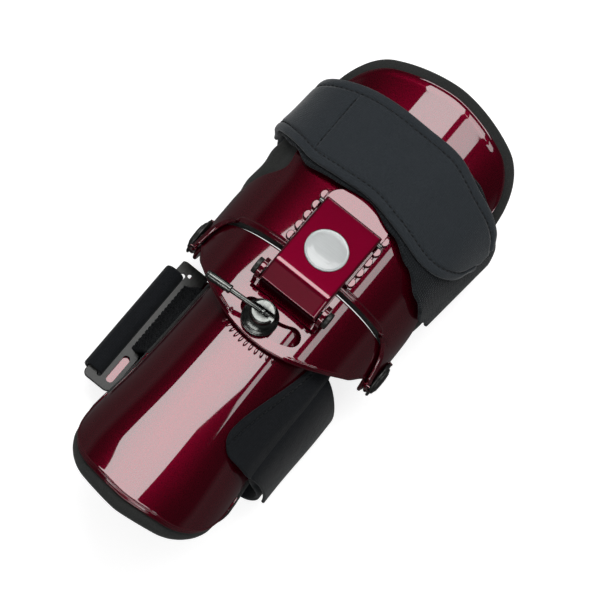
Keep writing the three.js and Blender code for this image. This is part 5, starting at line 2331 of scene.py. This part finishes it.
@dataclass(frozen=True)
class Studio:
    """Pale floor, soft boxes and the camera, in metres from the part's own origin."""

    azimuth: float = 11.5
    elevation: float = 70.6
    roll: float = 40.0
    shown: float = 0.288
    distance: float = 2.0
    aim: tuple[float, float, float] = (0.0014, 0.0118, 0.030)
    panel_height: float = 0.8
    panel_radiance: float = 4.4
    floor_size: float = 6.0
    floor_drop: float = 0.0002
    panel_outline: tuple[tuple[float, float], ...] = (
        (-0.70, 0.33), (-0.70, 0.20), (-0.61, 0.145), (-0.47, 0.087), (-0.36, -0.02),
        (0.05, -0.02), (0.08, 0.087), (0.10, 0.145), (0.27, 0.20), (0.29, 0.33),
    )

    def camera(self) -> None:
        """Long lens at the photograph's angle, rolled so that the elbow end points up and right."""
        a, e = math.radians(self.azimuth), math.radians(self.elevation)
        back = Vector((math.sin(a) * math.cos(e), -math.cos(a) * math.cos(e), math.sin(e)))
        arm = Vector((0, 1, 0)) - back * back.y
        up = Matrix.Rotation(math.radians(self.roll), 3, back) @ arm.normalized()
        data = bpy.data.cameras.new("camera")
        data.sensor_width = 36.0
        data.lens = 36.0 * self.distance / self.shown
        data.clip_end = 20.0
        camera = bpy.data.objects.new("camera", data)
        bpy.context.scene.collection.objects.link(camera)
        basis = Matrix((up.cross(back), up, back)).transposed()
        camera.matrix_world = Matrix.Translation(Vector(self.aim) + back * self.distance) @ basis.to_4x4()
        bpy.context.scene.camera = camera

    def surroundings(self) -> bpy.types.World:
        """Dark room whose walls are a little paler towards the horizon than overhead.

        Returns:
            The world, coloured by the height of the direction looked in.
        """
        world = bpy.data.worlds.new("studio")
        world.use_nodes = True
        tree = world.node_tree
        place = tree.nodes.new("ShaderNodeTexCoord")
        split = tree.nodes.new("ShaderNodeSeparateXYZ")
        ramp = tree.nodes.new("ShaderNodeValToRGB")
        stops = ((0.0, 0.08), (0.25, 0.1), (0.42, 0.02), (1.0, 0.012))
        elements = ramp.color_ramp.elements
        while len(elements) < len(stops):
            elements.new(0.5)
        for element, (at, grey) in zip(elements, stops):
            element.position = at
            element.color = (grey, grey, grey, 1.0)
        tree.links.new(place.outputs["Generated"], split.inputs["Vector"])
        tree.links.new(split.outputs["Z"], ramp.inputs["Fac"])
        tree.links.new(ramp.outputs["Color"], tree.nodes["Background"].inputs["Color"])
        return world

    def floor(self) -> None:
        """Plain pale floor."""
        nodes = Nodes("pale_floor")
        nodes.set(Base_Color=(0.45, 0.45, 0.45, 1.0), Roughness=0.9, Specular_IOR_Level=0.1)
        nodes.set(Emission_Color=(1.0, 1.0, 1.0, 1.0), Emission_Strength=0.8)
        mesh = bpy.data.meshes.new("floor")
        size, low = self.floor_size, -self.floor_drop
        points = [(-size, -size, low), (size, -size, low), (size, size, low), (-size, size, low)]
        mesh.from_pydata(points, [], [(0, 1, 2, 3)])
        mesh.materials.append(nodes.material)
        floor = bpy.data.objects.new("floor", mesh)
        floor.visible_glossy = False
        bpy.context.scene.collection.objects.link(floor)

    def soft_box(self, box: SoftBox) -> None:
        """Lights one soft box, facing down.

        Args:
            box: Its row in the table.
        """
        data = bpy.data.lights.new(box.name, "AREA")
        data.shape = "RECTANGLE"
        data.size, data.size_y = box.high[0] - box.low[0], box.high[1] - box.low[1]
        data.energy = box.radiance * math.pi * data.size * data.size_y
        lamp = bpy.data.objects.new(box.name, data)
        lamp.location = ((box.low[0] + box.high[0]) / 2, (box.low[1] + box.high[1]) / 2, box.height)
        lamp.visible_glossy = box.mirrored
        bpy.context.scene.collection.objects.link(lamp)

    def panel(self) -> None:
        """Glowing level panel over the glove, narrowing to the front, seen in the lacquer."""
        nodes = Nodes("glowing_panel")
        nodes.set(Base_Color=(0.0, 0.0, 0.0, 1.0), Emission_Color=(1.0, 1.0, 1.0, 1.0))
        nodes.set(Emission_Strength=self.panel_radiance)
        mesh = bpy.data.meshes.new("main_panel")
        points = [(x, y, self.panel_height) for x, y in self.panel_outline]
        mesh.from_pydata(points, [], [list(range(len(points)))])
        mesh.materials.append(nodes.material)
        panel = bpy.data.objects.new("main_panel", mesh)
        panel.visible_camera = False
        panel.visible_shadow = False
        bpy.context.scene.collection.objects.link(panel)

    def build(self) -> None:
        """Sets the stage."""
        scene = bpy.context.scene
        scene.view_settings.view_transform = "Standard"
        scene.world = self.surroundings()
        self.floor()
        self.panel()
        for box in SOFT_BOXES:
            self.soft_box(box)
        self.camera()


def main() -> None:
    """Builds the glove, its looks and the studio."""
    logging.basicConfig(level=logging.INFO, format="%(name)s %(message)s")
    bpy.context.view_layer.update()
    paints = Paints()
    forearm = Forearm()
    saddle = Saddle(forearm)
    hand = Hand(saddle)
    forearm.build(paints)
    saddle.build(paints)
    Rivets(forearm).build(paints)
    Latch(saddle).build(paints)
    hand.build(paints)
    Knob(saddle).build(paints)
    ForearmBand(forearm).build(paints)
    PalmBand(hand).build(paints)
    Studio().build()


if __name__ == "__main__":
    main()
